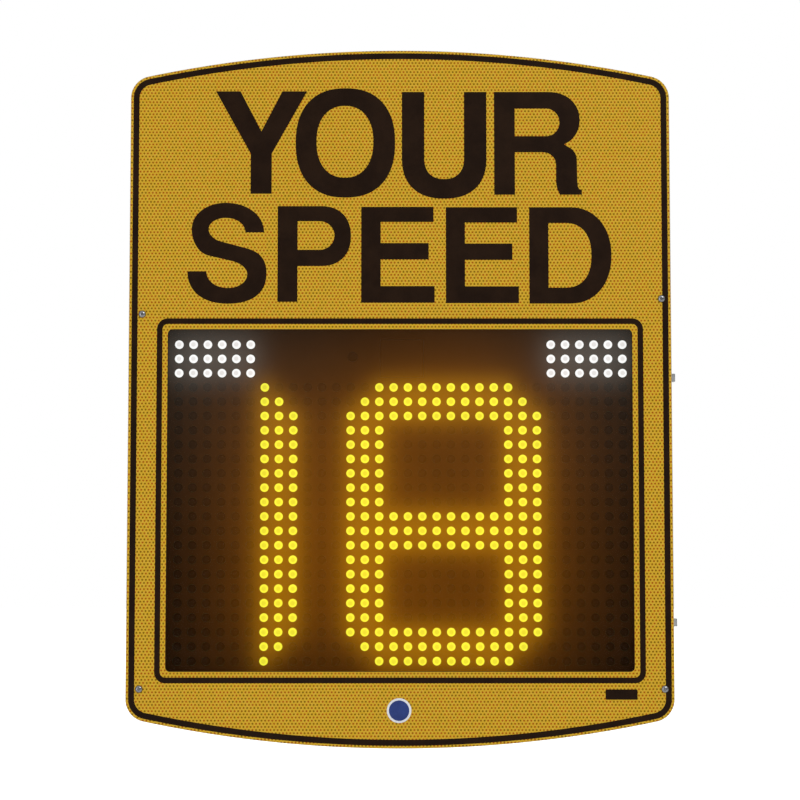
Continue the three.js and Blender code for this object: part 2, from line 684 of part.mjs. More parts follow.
function poleBracket() {
  const z = about(BRACKET_Z, BRACKET_HEIGHT);
  const flangeY = layer(BRACKET_Y[0], BRACKET_SHEET);
  const web = box(BRACKET_WEB, [BRACKET_Y[1] - BRACKET_SHEET, BRACKET_Y[1]], z);
  const sides = [
    box(layer(BRACKET_WEB[0], BRACKET_SHEET), BRACKET_Y, z),
    box([BRACKET_WEB[1] - BRACKET_SHEET, BRACKET_WEB[1]], BRACKET_Y, z),
  ];
  const flanges = [
    box([BRACKET_FLANGE[0], BRACKET_WEB[0] + BRACKET_SHEET], flangeY, z),
    box([BRACKET_WEB[1] - BRACKET_SHEET, BRACKET_FLANGE[1]], flangeY, z),
  ];
  const slotY = [BRACKET_Y[1] - BRACKET_SHEET - 2 - BAND_SLOT[1], BRACKET_Y[1] - BRACKET_SHEET - 2];
  const slots = [-1, 1].map((end) => (
    box(grown(BRACKET_WEB, 2), slotY, about(BRACKET_Z + end * BAND_SLOT_OFFSET, BAND_SLOT[0]))
  ));
  const holes = boltPlaces.map((place) => rod('y', place, 4.4, grown(flangeY, 1), FEW_SIDES));
  return cut(join(web, ...sides, ...flanges), ...slots, ...holes);
}

function bracketBolt(place) {
  const headFront = BRACKET_Y[0] + BRACKET_SHEET + GAP;
  const head = hexagon('y', place, 13, layer(headFront, 5.3));
  const shank = rod('y', place, 4, [REAR_WALL_INSIDE - BACKING_PLATE - 1.7, headFront + 1], FEW_SIDES);
  return join(head, shank);
}

// Strips inside the cabinet that the bracket's bolts screw into, one for the top pair and one for the bottom.
function backingStrip(end) {
  const y = [REAR_WALL_INSIDE - GAP - BACKING_PLATE, REAR_WALL_INSIDE - GAP];
  const strip = box([-58, 58], y, about(BRACKET_Z + end * BOLT_OFFSET, 16));
  const holes = boltPlaces.map((place) => rod('y', place, 4.3, grown(y, 1), FEW_SIDES));
  return cut(strip, ...holes);
}

function bracketParts() {
  return [
    part('pole_bracket', poleBracket(), POWDER_COAT),
    part('backing_strip_upper', backingStrip(1), ZINC),
    part('backing_strip_lower', backingStrip(-1), ZINC),
    ...boltPlaces.map((place, index) => part(`bracket_bolt_${index + 1}`, bracketBolt(place), STAINLESS)),
  ];
}

// ---- The sign ----

const sign = new THREE.Group();
sign.add(...faceParts(), ...displayParts(), ...doorParts());
sign.add(...cabinetParts(), ...powerParts(), ...bracketParts());
sign.position.set(0, -BRACKET_Y[1], -BRACKET_Z);

export default sign;
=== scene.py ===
"""Looks for the solar speed sign: sheeting, print, lamps, window, metalwork and the gear inside.

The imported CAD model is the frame. Lengths below are millimetres measured on the sign's face, from the middle
of the face: x to the right, z up, and depth from the front surface back. at() turns them into the frame's
metres.
"""

import json
import math
import random

import bmesh
import bpy
import numpy as np
from mathutils import Matrix, Vector


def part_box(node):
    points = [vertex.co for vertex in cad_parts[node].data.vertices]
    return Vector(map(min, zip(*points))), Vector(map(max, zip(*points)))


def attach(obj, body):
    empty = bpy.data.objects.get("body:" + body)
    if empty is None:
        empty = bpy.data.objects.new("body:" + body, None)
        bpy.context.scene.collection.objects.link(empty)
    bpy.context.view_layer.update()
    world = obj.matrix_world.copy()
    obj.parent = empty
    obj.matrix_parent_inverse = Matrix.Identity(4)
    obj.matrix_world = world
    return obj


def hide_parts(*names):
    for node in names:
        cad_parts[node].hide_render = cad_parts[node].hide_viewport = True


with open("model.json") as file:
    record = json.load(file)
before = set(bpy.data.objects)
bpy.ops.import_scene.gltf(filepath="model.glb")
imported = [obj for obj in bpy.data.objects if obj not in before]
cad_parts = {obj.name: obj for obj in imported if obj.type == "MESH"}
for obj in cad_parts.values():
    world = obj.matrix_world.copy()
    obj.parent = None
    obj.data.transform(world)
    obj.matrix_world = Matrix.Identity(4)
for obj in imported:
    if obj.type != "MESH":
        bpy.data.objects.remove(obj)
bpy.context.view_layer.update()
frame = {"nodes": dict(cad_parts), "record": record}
RANDOM = random.Random(7)
MM = 0.001

FACE_LOW, FACE_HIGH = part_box("face_panel")
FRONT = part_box("reflective_sheeting")[0].y
MIDDLE_Z = (FACE_LOW.z + FACE_HIGH.z) / 2
BODY_OF = {node: body for body, nodes in frame["record"]["behaviour"]["bodies"].items() for node in nodes}
SLOT_OF = {entry["node"]: entry["material_slot"] for entry in frame["record"]["subparts"]}


def at(x, depth, z):
    """A point of the frame, in metres, from millimetres on the face."""
    return Vector((x * MM, FRONT + depth * MM, MIDDLE_Z + z * MM))


def on_face(point):
    """Millimetres on the face, as (x, depth, z), from a point of the frame."""
    return point.x / MM, (point.y - FRONT) / MM, (point.z - MIDDLE_Z) / MM


def mm_box(node):
    """The node's box on the face, in millimetres: (x, x), (depth, depth), (z, z)."""
    low, high = (on_face(corner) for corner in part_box(node))
    return tuple(zip(low, high))


def spread(low, high, count):
    """Even steps from low to high."""
    return [low + (high - low) * i / (count - 1) for i in range(count)]


def within(span, low, high=None):
    """Two places inside a span, low from its start and high, or low again, from its end."""
    return span[0] + low, span[1] - (low if high is None else high)


def grid(xs, depth, zs):
    """Places at one depth, for each x and each z."""
    return [(x, depth, z) for x in xs for z in zs]


# ---- Outlines, as lists of (x, z) in millimetres ----


def arc(centre, radii, start, end, steps):
    """Points along an ellipse from start to end, in degrees."""
    turns = (math.radians(start + (end - start) * i / steps) for i in range(steps + 1))
    return [(centre[0] + radii[0] * math.cos(t), centre[1] + radii[1] * math.sin(t)) for t in turns]


def squared(centre, radii, squareness, turns):
    """Points at the turns of a curve between an ellipse (2) and a rectangle (large)."""
    loop = []
    for turn in turns:
        c, s = math.cos(turn), math.sin(turn)
        x = math.copysign(abs(c) ** (2 / squareness), c)
        z = math.copysign(abs(s) ** (2 / squareness), s)
        loop.append((centre[0] + radii[0] * x, centre[1] + radii[1] * z))
    return loop


def oval(centre, radii, squareness=2.25, steps=96):
    """A closed loop of that kind."""
    return squared(centre, radii, squareness, [2 * math.pi * i / steps for i in range(steps)])


def rounded(x, z, radius, steps=10):
    """A rectangle with round corners."""
    corners = (
        (x[1] - radius, z[1] - radius, 0),
        (x[0] + radius, z[1] - radius, 90),
        (x[0] + radius, z[0] + radius, 180),
        (x[1] - radius, z[0] + radius, 270),
    )
    loop = []
    for cx, cz, start in corners:
        loop += arc((cx, cz), (radius, radius), start, start + 90, steps)
    return loop


FACE_WIDTH = (FACE_HIGH.x - FACE_LOW.x) / MM
FACE_HEIGHT = (FACE_HIGH.z - FACE_LOW.z) / MM
EDGE_RADIUS = 1370  # of the crowned top and bottom edges
CORNER_RADIUS = 25


def face_outline(inset):
    """Straight sides, round corners, and a crowned edge at the top and the bottom."""
    radius, edge = CORNER_RADIUS - inset, EDGE_RADIUS - inset
    corner_x = FACE_WIDTH / 2 - CORNER_RADIUS
    edge_z = FACE_HEIGHT / 2 - EDGE_RADIUS
    corner_z = edge_z + math.sqrt((edge - radius) ** 2 - corner_x**2)
    turn = math.degrees(math.atan2(corner_z - edge_z, corner_x))
    upper = arc((corner_x, corner_z), (radius, radius), 0, turn, 16)
    upper += arc((0, edge_z), (edge, edge), turn, 180 - turn, 60)[1:]
    upper += arc((-corner_x, corner_z), (radius, radius), 180 - turn, 180, 16)[1:]
    return upper + [(-x, -z) for x, z in upper]


# ---- Materials ----


class Shader:
    """A material with one Principled shader and a short way to add nodes."""

    def __init__(self, name):
        self.material = bpy.data.materials.new(name)
        self.material.use_nodes = True
        self.tree = self.material.node_tree
        self.new = self.tree.nodes.new
        self.surface = self.tree.nodes["Principled BSDF"]
        self.place = self.new("ShaderNodeTexCoord").outputs["Object"]

    def node(self, kind, *inputs, **settings):
        """Adds a node. inputs fill its sockets in order, None leaves one alone. Returns its first output."""
        made = self.new(kind)
        for name, value in settings.items():
            setattr(made, name, value)
        for socket, value in zip(made.inputs, inputs):
            self.fill(socket, value)
        return made.outputs[0]

    def fill(self, socket, value):
        if isinstance(value, bpy.types.NodeSocket):
            self.tree.links.new(value, socket)
        elif value is not None:
            socket.default_value = value

    def maths(self, operation, *inputs, clamp=False):
        return self.node("ShaderNodeMath", *inputs, operation=operation, use_clamp=clamp)

    def vector(self, operation, *inputs):
        made = self.new("ShaderNodeVectorMath")
        made.operation = operation
        sockets = [socket for socket in made.inputs if socket.enabled]
        for socket, value in zip(sockets, inputs):
            self.fill(socket, value)
        return next(output for output in made.outputs if output.enabled)

    def noise(self, scale, detail=4.0, roughness=0.55, where=None):
        made = self.new("ShaderNodeTexNoise")
        made.inputs["Scale"].default_value = scale
        made.inputs["Detail"].default_value = detail
        made.inputs["Roughness"].default_value = roughness
        self.fill(made.inputs["Vector"], where or self.place)
        return made.outputs["Fac"]

    def between(self, value, low, high, to_low=0.0, to_high=1.0):
        made = self.new("ShaderNodeMapRange")
        made.interpolation_type = "SMOOTHSTEP"
        for socket, number in zip(made.inputs, (value, low, high, to_low, to_high)):
            self.fill(socket, number)
        return made.outputs[0]

    def mix(self, factor, first, second, blend="MIX"):
        made = self.new("ShaderNodeMix")
        made.data_type = "RGBA"
        made.blend_type = blend
        self.fill(made.inputs[0], factor)
        self.fill(made.inputs[6], first)
        self.fill(made.inputs[7], second)
        return made.outputs[2]

    def attribute(self, name):
        made = self.new("ShaderNodeAttribute")
        made.attribute_name = name
        return made.outputs["Fac"]

    def bump(self, height, strength, distance):
        made = self.new("ShaderNodeBump")
        made.inputs["Strength"].default_value = strength
        made.inputs["Distance"].default_value = distance
        self.fill(made.inputs["Height"], height)
        self.tree.links.new(made.outputs[0], self.surface.inputs["Normal"])

    def set(self, **values):
        """Fills the Principled shader's sockets: base_color fills Base Color, and so on."""
        for name, value in values.items():
            socket = self.surface.inputs[name.replace("_", " ").title().replace("Ior", "IOR")]
            self.fill(socket, value)
        return self.material


def srgb(red, green, blue):
    """Display colour, 0 to 255, as a linear RGBA."""
    channels = [c / 255 for c in (red, green, blue)]
    return tuple(c / 12.92 if c <= 0.04045 else ((c + 0.055) / 1.055) ** 2.4 for c in channels) + (1.0,)


CELL = 3.95 * MM  # of the sheeting's honeycomb
DIMPLE = (0.7 * MM, 1.45 * MM)  # radii of a dimple's floor and of its rim


def sheeting_material():
    """Prismatic film: golden, with a dark dimple at each point of a honeycomb lattice."""
    s = Shader("golden_sheeting")
    across = Vector((1 / CELL, 0, 1 / (CELL * math.sqrt(3))))
    back = Vector((CELL, 0, CELL * math.sqrt(3)))
    lattice = s.vector("MULTIPLY", s.place, across)
    distances, cells = [], []
    for shift in (0.0, 0.5):
        moved = s.vector("ADD", lattice, (shift, 0, shift))
        inside = s.vector("SUBTRACT", s.vector("FRACTION", moved), (0.5, 0, 0.5))
        flat = s.vector("MULTIPLY", inside, back)
        distances.append(s.node("ShaderNodeVectorMath", flat, operation="LENGTH"))
        cells.append(s.vector("FLOOR", moved))
    lengths = [d.node.outputs["Value"] for d in distances]
    nearest = s.maths("MINIMUM", *lengths)
    first = s.maths("LESS_THAN", lengths[0], lengths[1])
    seeded = (s.vector("ADD", cell, (seed, 0, 0)) for cell, seed in zip(cells, (0.0, 40.5)))
    tone = [s.node("ShaderNodeTexWhiteNoise", cell) for cell in seeded]
    second = s.maths("SUBTRACT", 1.0, first)
    pick = s.maths("ADD", s.maths("MULTIPLY", tone[0], first), s.maths("MULTIPLY", tone[1], second))
    dot_colour = s.mix(s.between(pick, 0.25, 0.75), srgb(124, 92, 2), srgb(158, 84, 8))
    field = s.mix(s.noise(9.0, 3.0), srgb(195, 154, 34), srgb(200, 159, 38))
    # Lighter flecks over the field: painted glints of the prisms.
    field = s.mix(s.between(s.noise(420.0, 2.0), 0.4, 0.65, 0.0, 0.6), field, srgb(206, 166, 62))
    dot = s.between(nearest, *DIMPLE, 1.0, 0.0)
    colour = s.mix(dot, field, dot_colour)
    rough = s.between(s.noise(60.0), 0.3, 0.7, 0.34, 0.46)
    s.bump(s.maths("SUBTRACT", 0.0, dot), 0.25, 0.08 * MM)
    return s.set(base_color=colour, roughness=rough, specular_ior_level=0.06)


def finish(name, low, high, rough, scale, metallic=0.0, grain=(1, 1, 1), bump=0.1, depth=0.05, **other):
    """Two close tones, patchy roughness and a fine texture of some depth in mm. grain stretches it."""
    s = Shader(name)
    where = s.vector("MULTIPLY", s.place, grain)
    patches = s.noise(scale * 0.06, 4.0, 0.6, where)
    fine = s.noise(scale, 5.0, 0.6, where)
    colour = s.mix(s.between(patches, 0.3, 0.7), srgb(*low), srgb(*high))
    if "speckle" in other:
        colour = s.mix(s.between(fine, 0.62, 0.72, 0.0, 0.5), colour, srgb(*other["speckle"]))
    s.bump(fine, bump, depth * MM)
    roughness = s.between(s.noise(scale * 0.3, 3.0, 0.5, where), 0.3, 0.7, *rough)
    specular = other.get("specular", 0.5)
    return s.set(base_color=colour, roughness=roughness, metallic=metallic, specular_ior_level=specular)


def circuit_board_material():
    """Solder resist with tracks in a brick pattern."""
    s = Shader("circuit_board")
    x = s.node("ShaderNodeSeparateXYZ", s.place)
    tracks = s.node("ShaderNodeTexBrick", s.node("ShaderNodeCombineXYZ", x, x.node.outputs["Z"])).node
    tracks.inputs["Scale"].default_value = 220.0
    tracks.inputs["Mortar Size"].default_value = 0.035
    line = tracks.outputs["Fac"]
    board = s.mix(s.noise(30.0), srgb(18, 66, 38), srgb(28, 84, 48))
    colour = s.mix(line, board, srgb(60, 128, 74))
    s.bump(line, 0.3, 0.05 * MM)
    return s.set(base_color=colour, roughness=0.38, specular_ior_level=0.5)


def lamp_material(name, body, rim):
    """A lit lens: a flat bright middle and a brighter rim."""
    s = Shader(name)
    edge = s.between(s.attribute("rim"), 0.42, 0.62)
    flicker = s.attribute("tone")
    glow = s.mix(edge, body, rim)
    glow = s.mix(1.0, glow, s.mix(flicker, (0.97, 0.97, 0.97, 1), (1.03, 1.03, 1.03, 1)), "MULTIPLY")
    s.set(base_color=(0.02, 0.02, 0.02, 1), roughness=0.3, specular_ior_level=0.2)
    return s.set(emission_color=glow, emission_strength=1.0)


PANE_ALPHA = 0.3
# Light that one lamp scatters into the window, painted on the pane as a glow: its colour, its reach in mm, and
# the law it falls off by.
GLOWS = {
    "amber_near": ((0.0587, 0.0269, 0.0003), 16.0, "bell"),
    "amber_far": ((0.0099, 0.0030, 0.0000), 35.0, "tail"),
    "white_near": ((0.0114, 0.0120, 0.0114), 20.0, "bell"),
    "white_far": ((0.0010, 0.0009, 0.0007), 100.0, "tail"),
}


def pane_material():
    """Smoked sheet with a painted glow: it gives off a little of the lamps' light as if scattered. Each glow's
    amount is stored on its points.
    """
    s = Shader("smoked_window")
    light = (0, 0, 0, 1)
    for name, (colour, _, _) in GLOWS.items():
        tint = tuple(c / PANE_ALPHA for c in colour) + (1,)
        light = s.mix(1.0, light, s.mix(1.0, tint, s.attribute(name), "MULTIPLY"), "ADD")
    # Patchy strength of the painted glow, brighter and dimmer in places.
    patchy_painted_glow = s.between(s.noise(14.0, 5.0), 0.3, 0.7, 0.95, 1.05)
    light = s.mix(1.0, light, patchy_painted_glow, "MULTIPLY")
    rough = s.between(s.noise(6.0, 2.0), 0.3, 0.7, 0.12, 0.18)
    s.set(base_color=srgb(6, 3, 1), roughness=rough, specular_ior_level=0.08, alpha=PANE_ALPHA)
    s.material.surface_render_method = "BLENDED"
    return s.set(emission_color=light, emission_strength=1.0)


# Each finish has two tones, a range of roughness, its texture's scale, and then what differs from the usual.
TONES = {
    "ink": ((28, 16, 8), (36, 22, 12), (0.4, 0.55), 700, dict(bump=0.08, specular=0.05)),
    "bare_aluminium": (
        (172, 175, 178), (196, 198, 200), (0.28, 0.46), 900,
        dict(metallic=1.0, grain=(1, 1, 14), bump=0.15, depth=0.03),
    ),
    "powder_coat": ((143, 148, 150), (148, 153, 155), (0.42, 0.52), 650, dict(bump=0.35, depth=0.12)),
    "stainless": (
        (178, 179, 181), (198, 199, 200), (0.24, 0.36), 1100,
        dict(metallic=1.0, grain=(1, 9, 1), bump=0.05, depth=0.01),
    ),
    "zinc_plate": (
        (172, 175, 173), (190, 189, 180), (0.32, 0.46), 500,
        dict(metallic=1.0, bump=0.05, depth=0.02, speckle=(164, 169, 172)),
    ),
    "screw_steel": ((126, 127, 132), (146, 146, 149), (0.1, 0.16), 900, dict(metallic=1.0, depth=0.02)),
    "black_rubber": ((14, 13, 13), (24, 22, 21), (0.6, 0.8), 900, dict(bump=0.25, specular=0.2)),
    "mask_black": ((60, 34, 12), (66, 38, 15), (0.85, 0.95), 800, dict(bump=0.02, specular=0.02)),
    "black_plastic": ((22, 23, 25), (32, 33, 35), (0.38, 0.55), 1200, dict(bump=0.3, depth=0.04)),
    "grey_plastic": ((96, 101, 105), (110, 115, 118), (0.42, 0.58), 1300, dict(bump=0.3, depth=0.04)),
    "battery_case": ((26, 52, 88), (36, 64, 104), (0.32, 0.5), 900, dict(bump=0.2, depth=0.04)),
    "switch_red": ((150, 16, 14), (172, 24, 20), (0.2, 0.32), 900, dict(bump=0.08, depth=0.02)),
    "badge_blue": ((28, 46, 104), (36, 58, 122), (0.3, 0.42), 800, dict(bump=0.05, specular=0.3)),
    "badge_white": ((206, 208, 212), (222, 224, 228), (0.3, 0.42), 800, dict(bump=0.05, specular=0.3)),
    "label_pale": ((196, 199, 202), (208, 210, 212), (0.35, 0.45), 800, dict(bump=0.04, specular=0.3)),
    "fuse_amber": ((206, 120, 18), (222, 136, 30), (0.2, 0.3), 900, dict(bump=0.05)),
    "indicator_green": ((30, 128, 54), (44, 150, 70), (0.12, 0.2), 900, dict(bump=0.02)),
    "brass": ((190, 150, 78), (214, 178, 104), (0.22, 0.4), 900, dict(metallic=1.0, bump=0.08, depth=0.02)),
    "lens_dark": ((12, 6, 3), (18, 9, 5), (0.35, 0.5), 600, dict(bump=0.02, specular=0.04)),
}
FINISH = {key: finish(f"{key}_finish", *values[:-1], **values[-1]) for key, values in TONES.items()}
FINISH["sheeting"] = sheeting_material()
FINISH["smoked_window"] = pane_material()
FINISH["circuit_board"] = circuit_board_material()
FINISH["amber_lit"] = lamp_material("amber_lamp", (1.25, 1.32, 0.06, 1), (1.6, 1.7, 0.08, 1))
FINISH["white_lit"] = lamp_material("white_lamp", (1.5, 1.46, 1.43, 1), (1.9, 1.9, 1.9, 1))


# ---- Building pieces ----


def shown(name, data):
    """A new object in the scene."""
    made = bpy.data.objects.new(name, data)
    bpy.context.scene.collection.objects.link(made)
    return made


def applied(holder):
    """The mesh of an object as it is shown. The object goes."""
    mesh = bpy.data.meshes.new_from_object(holder.evaluated_get(bpy.context.evaluated_depsgraph_get()))
    bpy.data.objects.remove(holder)
    return mesh


def add(name, mesh, finish_name, body, replaces=(), smooth=True):
    """Puts a mesh, or a list of meshes as one piece, in the scene with its finish and its body."""
    if isinstance(mesh, list):
        mesh = merged(mesh)
    mesh.name = name
    piece = shown(name, mesh)
    mesh.materials.clear()
    mesh.materials.append(FINISH[finish_name])
    if smooth:
        mesh.polygons.foreach_set("use_smooth", [True] * len(mesh.polygons))
        mesh.set_sharp_from_angle(angle=math.radians(21))
    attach(piece, body)
    if replaces:
        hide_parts(*replaces)


def flat_mesh(loops, front, thickness, edge=0.0):
    """A sheet with the outline and holes in loops. edge rounds its rims."""
    curve = bpy.data.curves.new("outline", "CURVE")
    curve.dimensions = "2D"
    curve.fill_mode = "BOTH"
    curve.extrude = (thickness / 2 - edge) * MM
    curve.bevel_depth = edge * MM
    curve.bevel_resolution = 1
    curve.offset = -edge * MM
    for loop in loops:
        spline = curve.splines.new("POLY")
        spline.points.add(len(loop) - 1)
        for point, (x, z) in zip(spline.points, loop):
            point.co = (x * MM, z * MM, 0, 1)
        spline.use_cyclic_u = True
    mesh = applied(shown("outline", curve))
    bpy.data.curves.remove(curve)
    mesh.transform(Matrix.Translation(at(0, front + thickness / 2, 0)) @ Matrix.Rotation(math.pi / 2, 4, "X"))
    return mesh


def worked(mesh, work):
    """Runs work on a bmesh of the mesh and writes it back."""
    solid = bmesh.new()
    solid.from_mesh(mesh)
    work(solid)
    solid.to_mesh(mesh)
    solid.free()
    return mesh


def bevelled_copy(node, width):
    """The CAD node's mesh with its flat faces merged and its edges rounded."""
    mesh = frame["nodes"][node].data.copy()

    def work(solid):
        bmesh.ops.remove_doubles(solid, verts=solid.verts, dist=1e-6)
        bmesh.ops.dissolve_limit(solid, angle_limit=math.radians(1), verts=solid.verts, edges=solid.edges)

    worked(mesh, work)
    mesh.polygons.foreach_set("use_smooth", [True] * len(mesh.polygons))
    holder = shown("holder", mesh)
    rounding = holder.modifiers.new("edges", "BEVEL")
    rounding.width = width * MM
    rounding.segments = 2
    rounding.limit_method = "ANGLE"
    rounding.angle_limit = math.radians(40)
    rounding.use_clamp_overlap = True
    levelling = holder.modifiers.new("normals", "WEIGHTED_NORMAL")
    levelling.keep_sharp = True
    fine = applied(holder)
    bpy.data.meshes.remove(mesh)
    return fine


def refine(node, mesh, smooth=True):
    """Shows a CAD node through a finer mesh in its place."""
    add(f"{node}_fine", mesh, SLOT_OF[node], BODY_OF[node], [node], smooth)


def turned_mesh(profile, start, axis, sides=48):
    """A solid of revolution about the axis through start. profile lists (distance along it, radius) in mm."""
    along = Vector(axis).normalized()
    first = along.orthogonal().normalized()
    second = along.cross(first)
    verts, faces = [], []
    for distance, radius in profile:
        for i in range(sides):
            turn = 2 * math.pi * i / sides
            out = first * math.cos(turn) + second * math.sin(turn)
            verts.append(start + along * distance * MM + out * radius * MM)
    for ring in range(len(profile) - 1):
        for i in range(sides):
            j = (i + 1) % sides
            low, high = ring * sides, (ring + 1) * sides
            faces.append((low + i, low + j, high + j, high + i))
    faces.append(tuple(reversed(range(sides))))
    faces.append(tuple(range((len(profile) - 1) * sides, len(profile) * sides)))
    mesh = bpy.data.meshes.new("turned")
    mesh.from_pydata(verts, [], faces)

    def work(solid):
        bmesh.ops.remove_doubles(solid, verts=solid.verts, dist=1e-7)
        bmesh.ops.recalc_face_normals(solid, faces=solid.faces)

    return worked(mesh, work)


def block_mesh(low, high, width, segments=2):
    """A box between two points of the frame, with rounded edges."""

    def work(solid):
        bmesh.ops.create_cube(solid, size=1.0)
        bmesh.ops.scale(solid, vec=high - low, verts=solid.verts)
        bmesh.ops.translate(solid, vec=(low + high) / 2, verts=solid.verts)
        bmesh.ops.bevel(
            solid, geom=list(solid.edges), offset=width * MM, segments=segments, affect="EDGES", profile=0.5
        )

    return worked(bpy.data.meshes.new("block"), work)


def merged(meshes):
    """One mesh from several."""
    solid = bmesh.new()
    for mesh in meshes:
        solid.from_mesh(mesh)
        bpy.data.meshes.remove(mesh)
    whole = bpy.data.meshes.new("merged")
    solid.to_mesh(whole)
    solid.free()
    return whole


def sheet(name, loops, front, thickness, finish_name, body, edge=0.0):
    """A thin flat piece with the outline and holes in loops."""
    add(name, flat_mesh(loops, front, thickness, edge), finish_name, body)


# ---- The printed legend ----


def letter_y(left, right, base, top, stem, arm, crotch, fork):
    """crotch is the height of the inner vee, fork that of the joint with the stem."""
    middle = (left + right) / 2
    half = stem / 2
    return [[
        (left, top), (left + arm, top), (middle, crotch), (right - arm, top), (right, top),
        (middle + half, fork), (middle + half, base), (middle - half, base), (middle - half, fork),
    ]]


def cup(centre, radii, squareness):
    """The lower half of an oval, from left to right."""
    loop = oval(centre, radii, squareness)
    return loop[len(loop) // 2:] + loop[:1]


def letter_u(left, right, base, top, stem, foot, height, squareness):
    """height is that of the straight sides' lower ends above base, foot the thickness at the bottom."""
    middle, outer = (left + right) / 2, (right - left) / 2
    centre = (middle, base + height)
    loop = [(left, top), *cup(centre, (outer, height), squareness), (right, top), (right - stem, top)]
    loop += reversed(cup(centre, (outer - stem, height - foot), squareness))
    return [loop + [(left + stem, top)]]


def bowl(left, right, low, high, squareness=2.0, steps=32):
    """The right-hand end of a bowl, from its top to its bottom. left is where it stops being straight."""
    turns = [math.radians(90 - 180 * i / steps) for i in range(steps + 1)]
    return squared((left, (low + high) / 2), (right - left, (high - low) / 2), squareness, turns)


def counter(left, straight, outer, inner, low, high):
    """The hole in a P's or an R's bowl."""
    return [(left, low), (left, high)] + bowl(straight - (outer - inner) * 0.1, inner, low, high)


def letter_p(left, base, top, stem, bar, counter_low, bowl_low, straight, outer, inner):
    outline = [(left, base), (left, top)] + bowl(straight, outer, bowl_low, top, 2.25)
    outline += [(left + stem, bowl_low), (left + stem, base)]
    return [outline, counter(left + stem, straight, outer, inner, counter_low, top - bar)]


def letter_d(left, base, top, stem, bar, straight, outer, inner):
    outline = [(left, base), (left, top)] + bowl(straight, outer, base, top, 2.15)
    hole = [(left + stem, base + bar), (left + stem, top - bar)]
    return [outline, hole + bowl(straight - 6, inner, base + bar, top - bar, 2.35)]


def letter_e(left, base, top, stem, arms, bars):
    """arms are the right ends of the top, middle and bottom arm; bars the heights of their edges."""
    loop = [(left, base), (left, top), (arms[0], top), (arms[0], bars[0]), (left + stem, bars[0])]
    loop += [(left + stem, bars[1]), (arms[1], bars[1]), (arms[1], bars[2]), (left + stem, bars[2])]
    return [loop + [(left + stem, bars[3]), (arms[2], bars[3]), (arms[2], base)]]


def letter_r(left, base, top, stem, bar, counter_low, bowl_low, straight, outer, inner):
    """A P whose bowl turns into an upright leg with a small foot."""
    notch = (184.0, 282.0)
    outline = [(left, base), (left, top)]
    outline += [p for p in bowl(straight, outer, 278.0, top, 2.15) if p[1] > notch[1] + 1]
    outline += [notch]
    outline += arc((183.0, 264.0), (15.0, 16.0), 72, 0, 10)
    outline += [(198.4, 240.0), (199.0, 234.5), (200.3, 231.5), (203.4, 230.1), (203.4, base), (179.0, base)]
    outline += [(176.2, 230.5), (174.6, 238.0)]
    outline += arc((160.2, 259.0), (14.4, 13.9), 0, 90, 12)
    outline += [(left + stem, bowl_low), (left + stem, base)]
    return [outline, counter(left + stem, straight, outer, inner, counter_low, top - bar)]


def bend(start, corner, end, fullness, steps=16):
    """A quarter turn from start to end that leaves and arrives along the lines to corner."""
    points = [Vector(p) for p in (start, corner, end)]
    first = points[0].lerp(points[1], fullness)
    second = points[2].lerp(points[1], fullness)
    loop = []
    for i in range(steps + 1):
        t = i / steps
        u = 1 - t
        loop.append(tuple(u**3 * points[0] + 3 * u**2 * t * first + 3 * u * t**2 * second + t**3 * points[2]))
    return loop


def bends(points, fullness=(0.57, 0.57, 0.57)):
    """Bends in a row through points, which lists ends and corners in turn."""
    loop = []
    for i, full in enumerate(fullness):
        loop += bend(*points[2 * i : 2 * i + 3], full)[1 if i else 0 :]
    return loop


def letter_s():
    """An upper and a lower bowl joined by a slanting bar. The terminals are cut level."""
    top = [(-151.8, 182.4), (-151.8, 215.8), (-194.8, 215.8), (-232.7, 215.8), (-232.7, 186.0)]
    top += [(-232.7, 161.0), (-214.0, 156.5)]
    lower_inside = [(-187.4, 150.2), (-170.4, 146.2), (-170.4, 135.6), (-170.4, 120.0), (-191.9, 120.0)]
    lower_inside += [(-216.0, 120.0), (-216.0, 138.7)]
    foot = [(-237.1, 138.7), (-237.1, 102.3), (-191.8, 102.3), (-148.9, 102.3), (-148.9, 136.0)]
    foot += [(-148.9, 158.6), (-171.8, 164.7)]
    upper_inside = [(-200.0, 172.2), (-213.7, 175.8), (-213.7, 186.0), (-213.7, 198.7), (-194.7, 198.7)]
    upper_inside += [(-172.7, 198.7), (-172.7, 182.4)]
    return [bends(top) + bends(lower_inside) + bends(foot, (0.62, 0.64, 0.7)) + bends(upper_inside)]


INK_DEPTH = 0.06


def build_print():
    letters = [  # and the two lines
        ("letter_y", letter_y(-206.5, -104.3, 226.0, 342.0, 23.6, 27.6, 296.6, 271.5)),
        ("letter_o", [oval((-61.2, 283.6), (55.7, 61.9), 2.33), oval((-61.7, 284.8), (31.8, 40.6), 2.25)]),
        ("letter_u", letter_u(2.1, 96.8, 220.5, 341.3, 25.1, 22.1, 46.2, 2.35)),
        ("letter_r", letter_r(105.4, 224.9, 341.3, 23.2, 18.9, 291.1, 272.9, 166.0, 201.4, 178.7)),
        ("letter_s", letter_s()),
        ("letter_p", letter_p(-136.6, 104.5, 212.0, 22.2, 17.0, 162.8, 144.6, -88.0, -54.8, -73.2)),
        ("letter_e_1", letter_e(-43.3, 103.4, 211.2, 21.7, (37.4, 32.0, 38.6), (194.2, 170.4, 152.0, 122.1))),
        ("letter_e_2", letter_e(51.2, 103, 210.8, 21.3, (130.8, 125.4, 132.5), (193.5, 169.9, 151.5, 121.8))),
        ("letter_d", letter_d(144.3, 102.5, 210.8, 21.4, 17.8, 190.0, 236.0, 213.6)),
    ]
    letters.append(("border_line", [face_outline(3.2), face_outline(9.8)]))
    outside = rounded((-270.5, 270.5), (-317.2, 85.9), 12)
    letters.append(("window_line", [outside, rounded((-264.3, 264.3), (-311.0, 79.7), 6)]))
    for name, loops in letters:
        sheet(name, loops, -INK_DEPTH, INK_DEPTH, "ink", "door")


# ---- Face ----

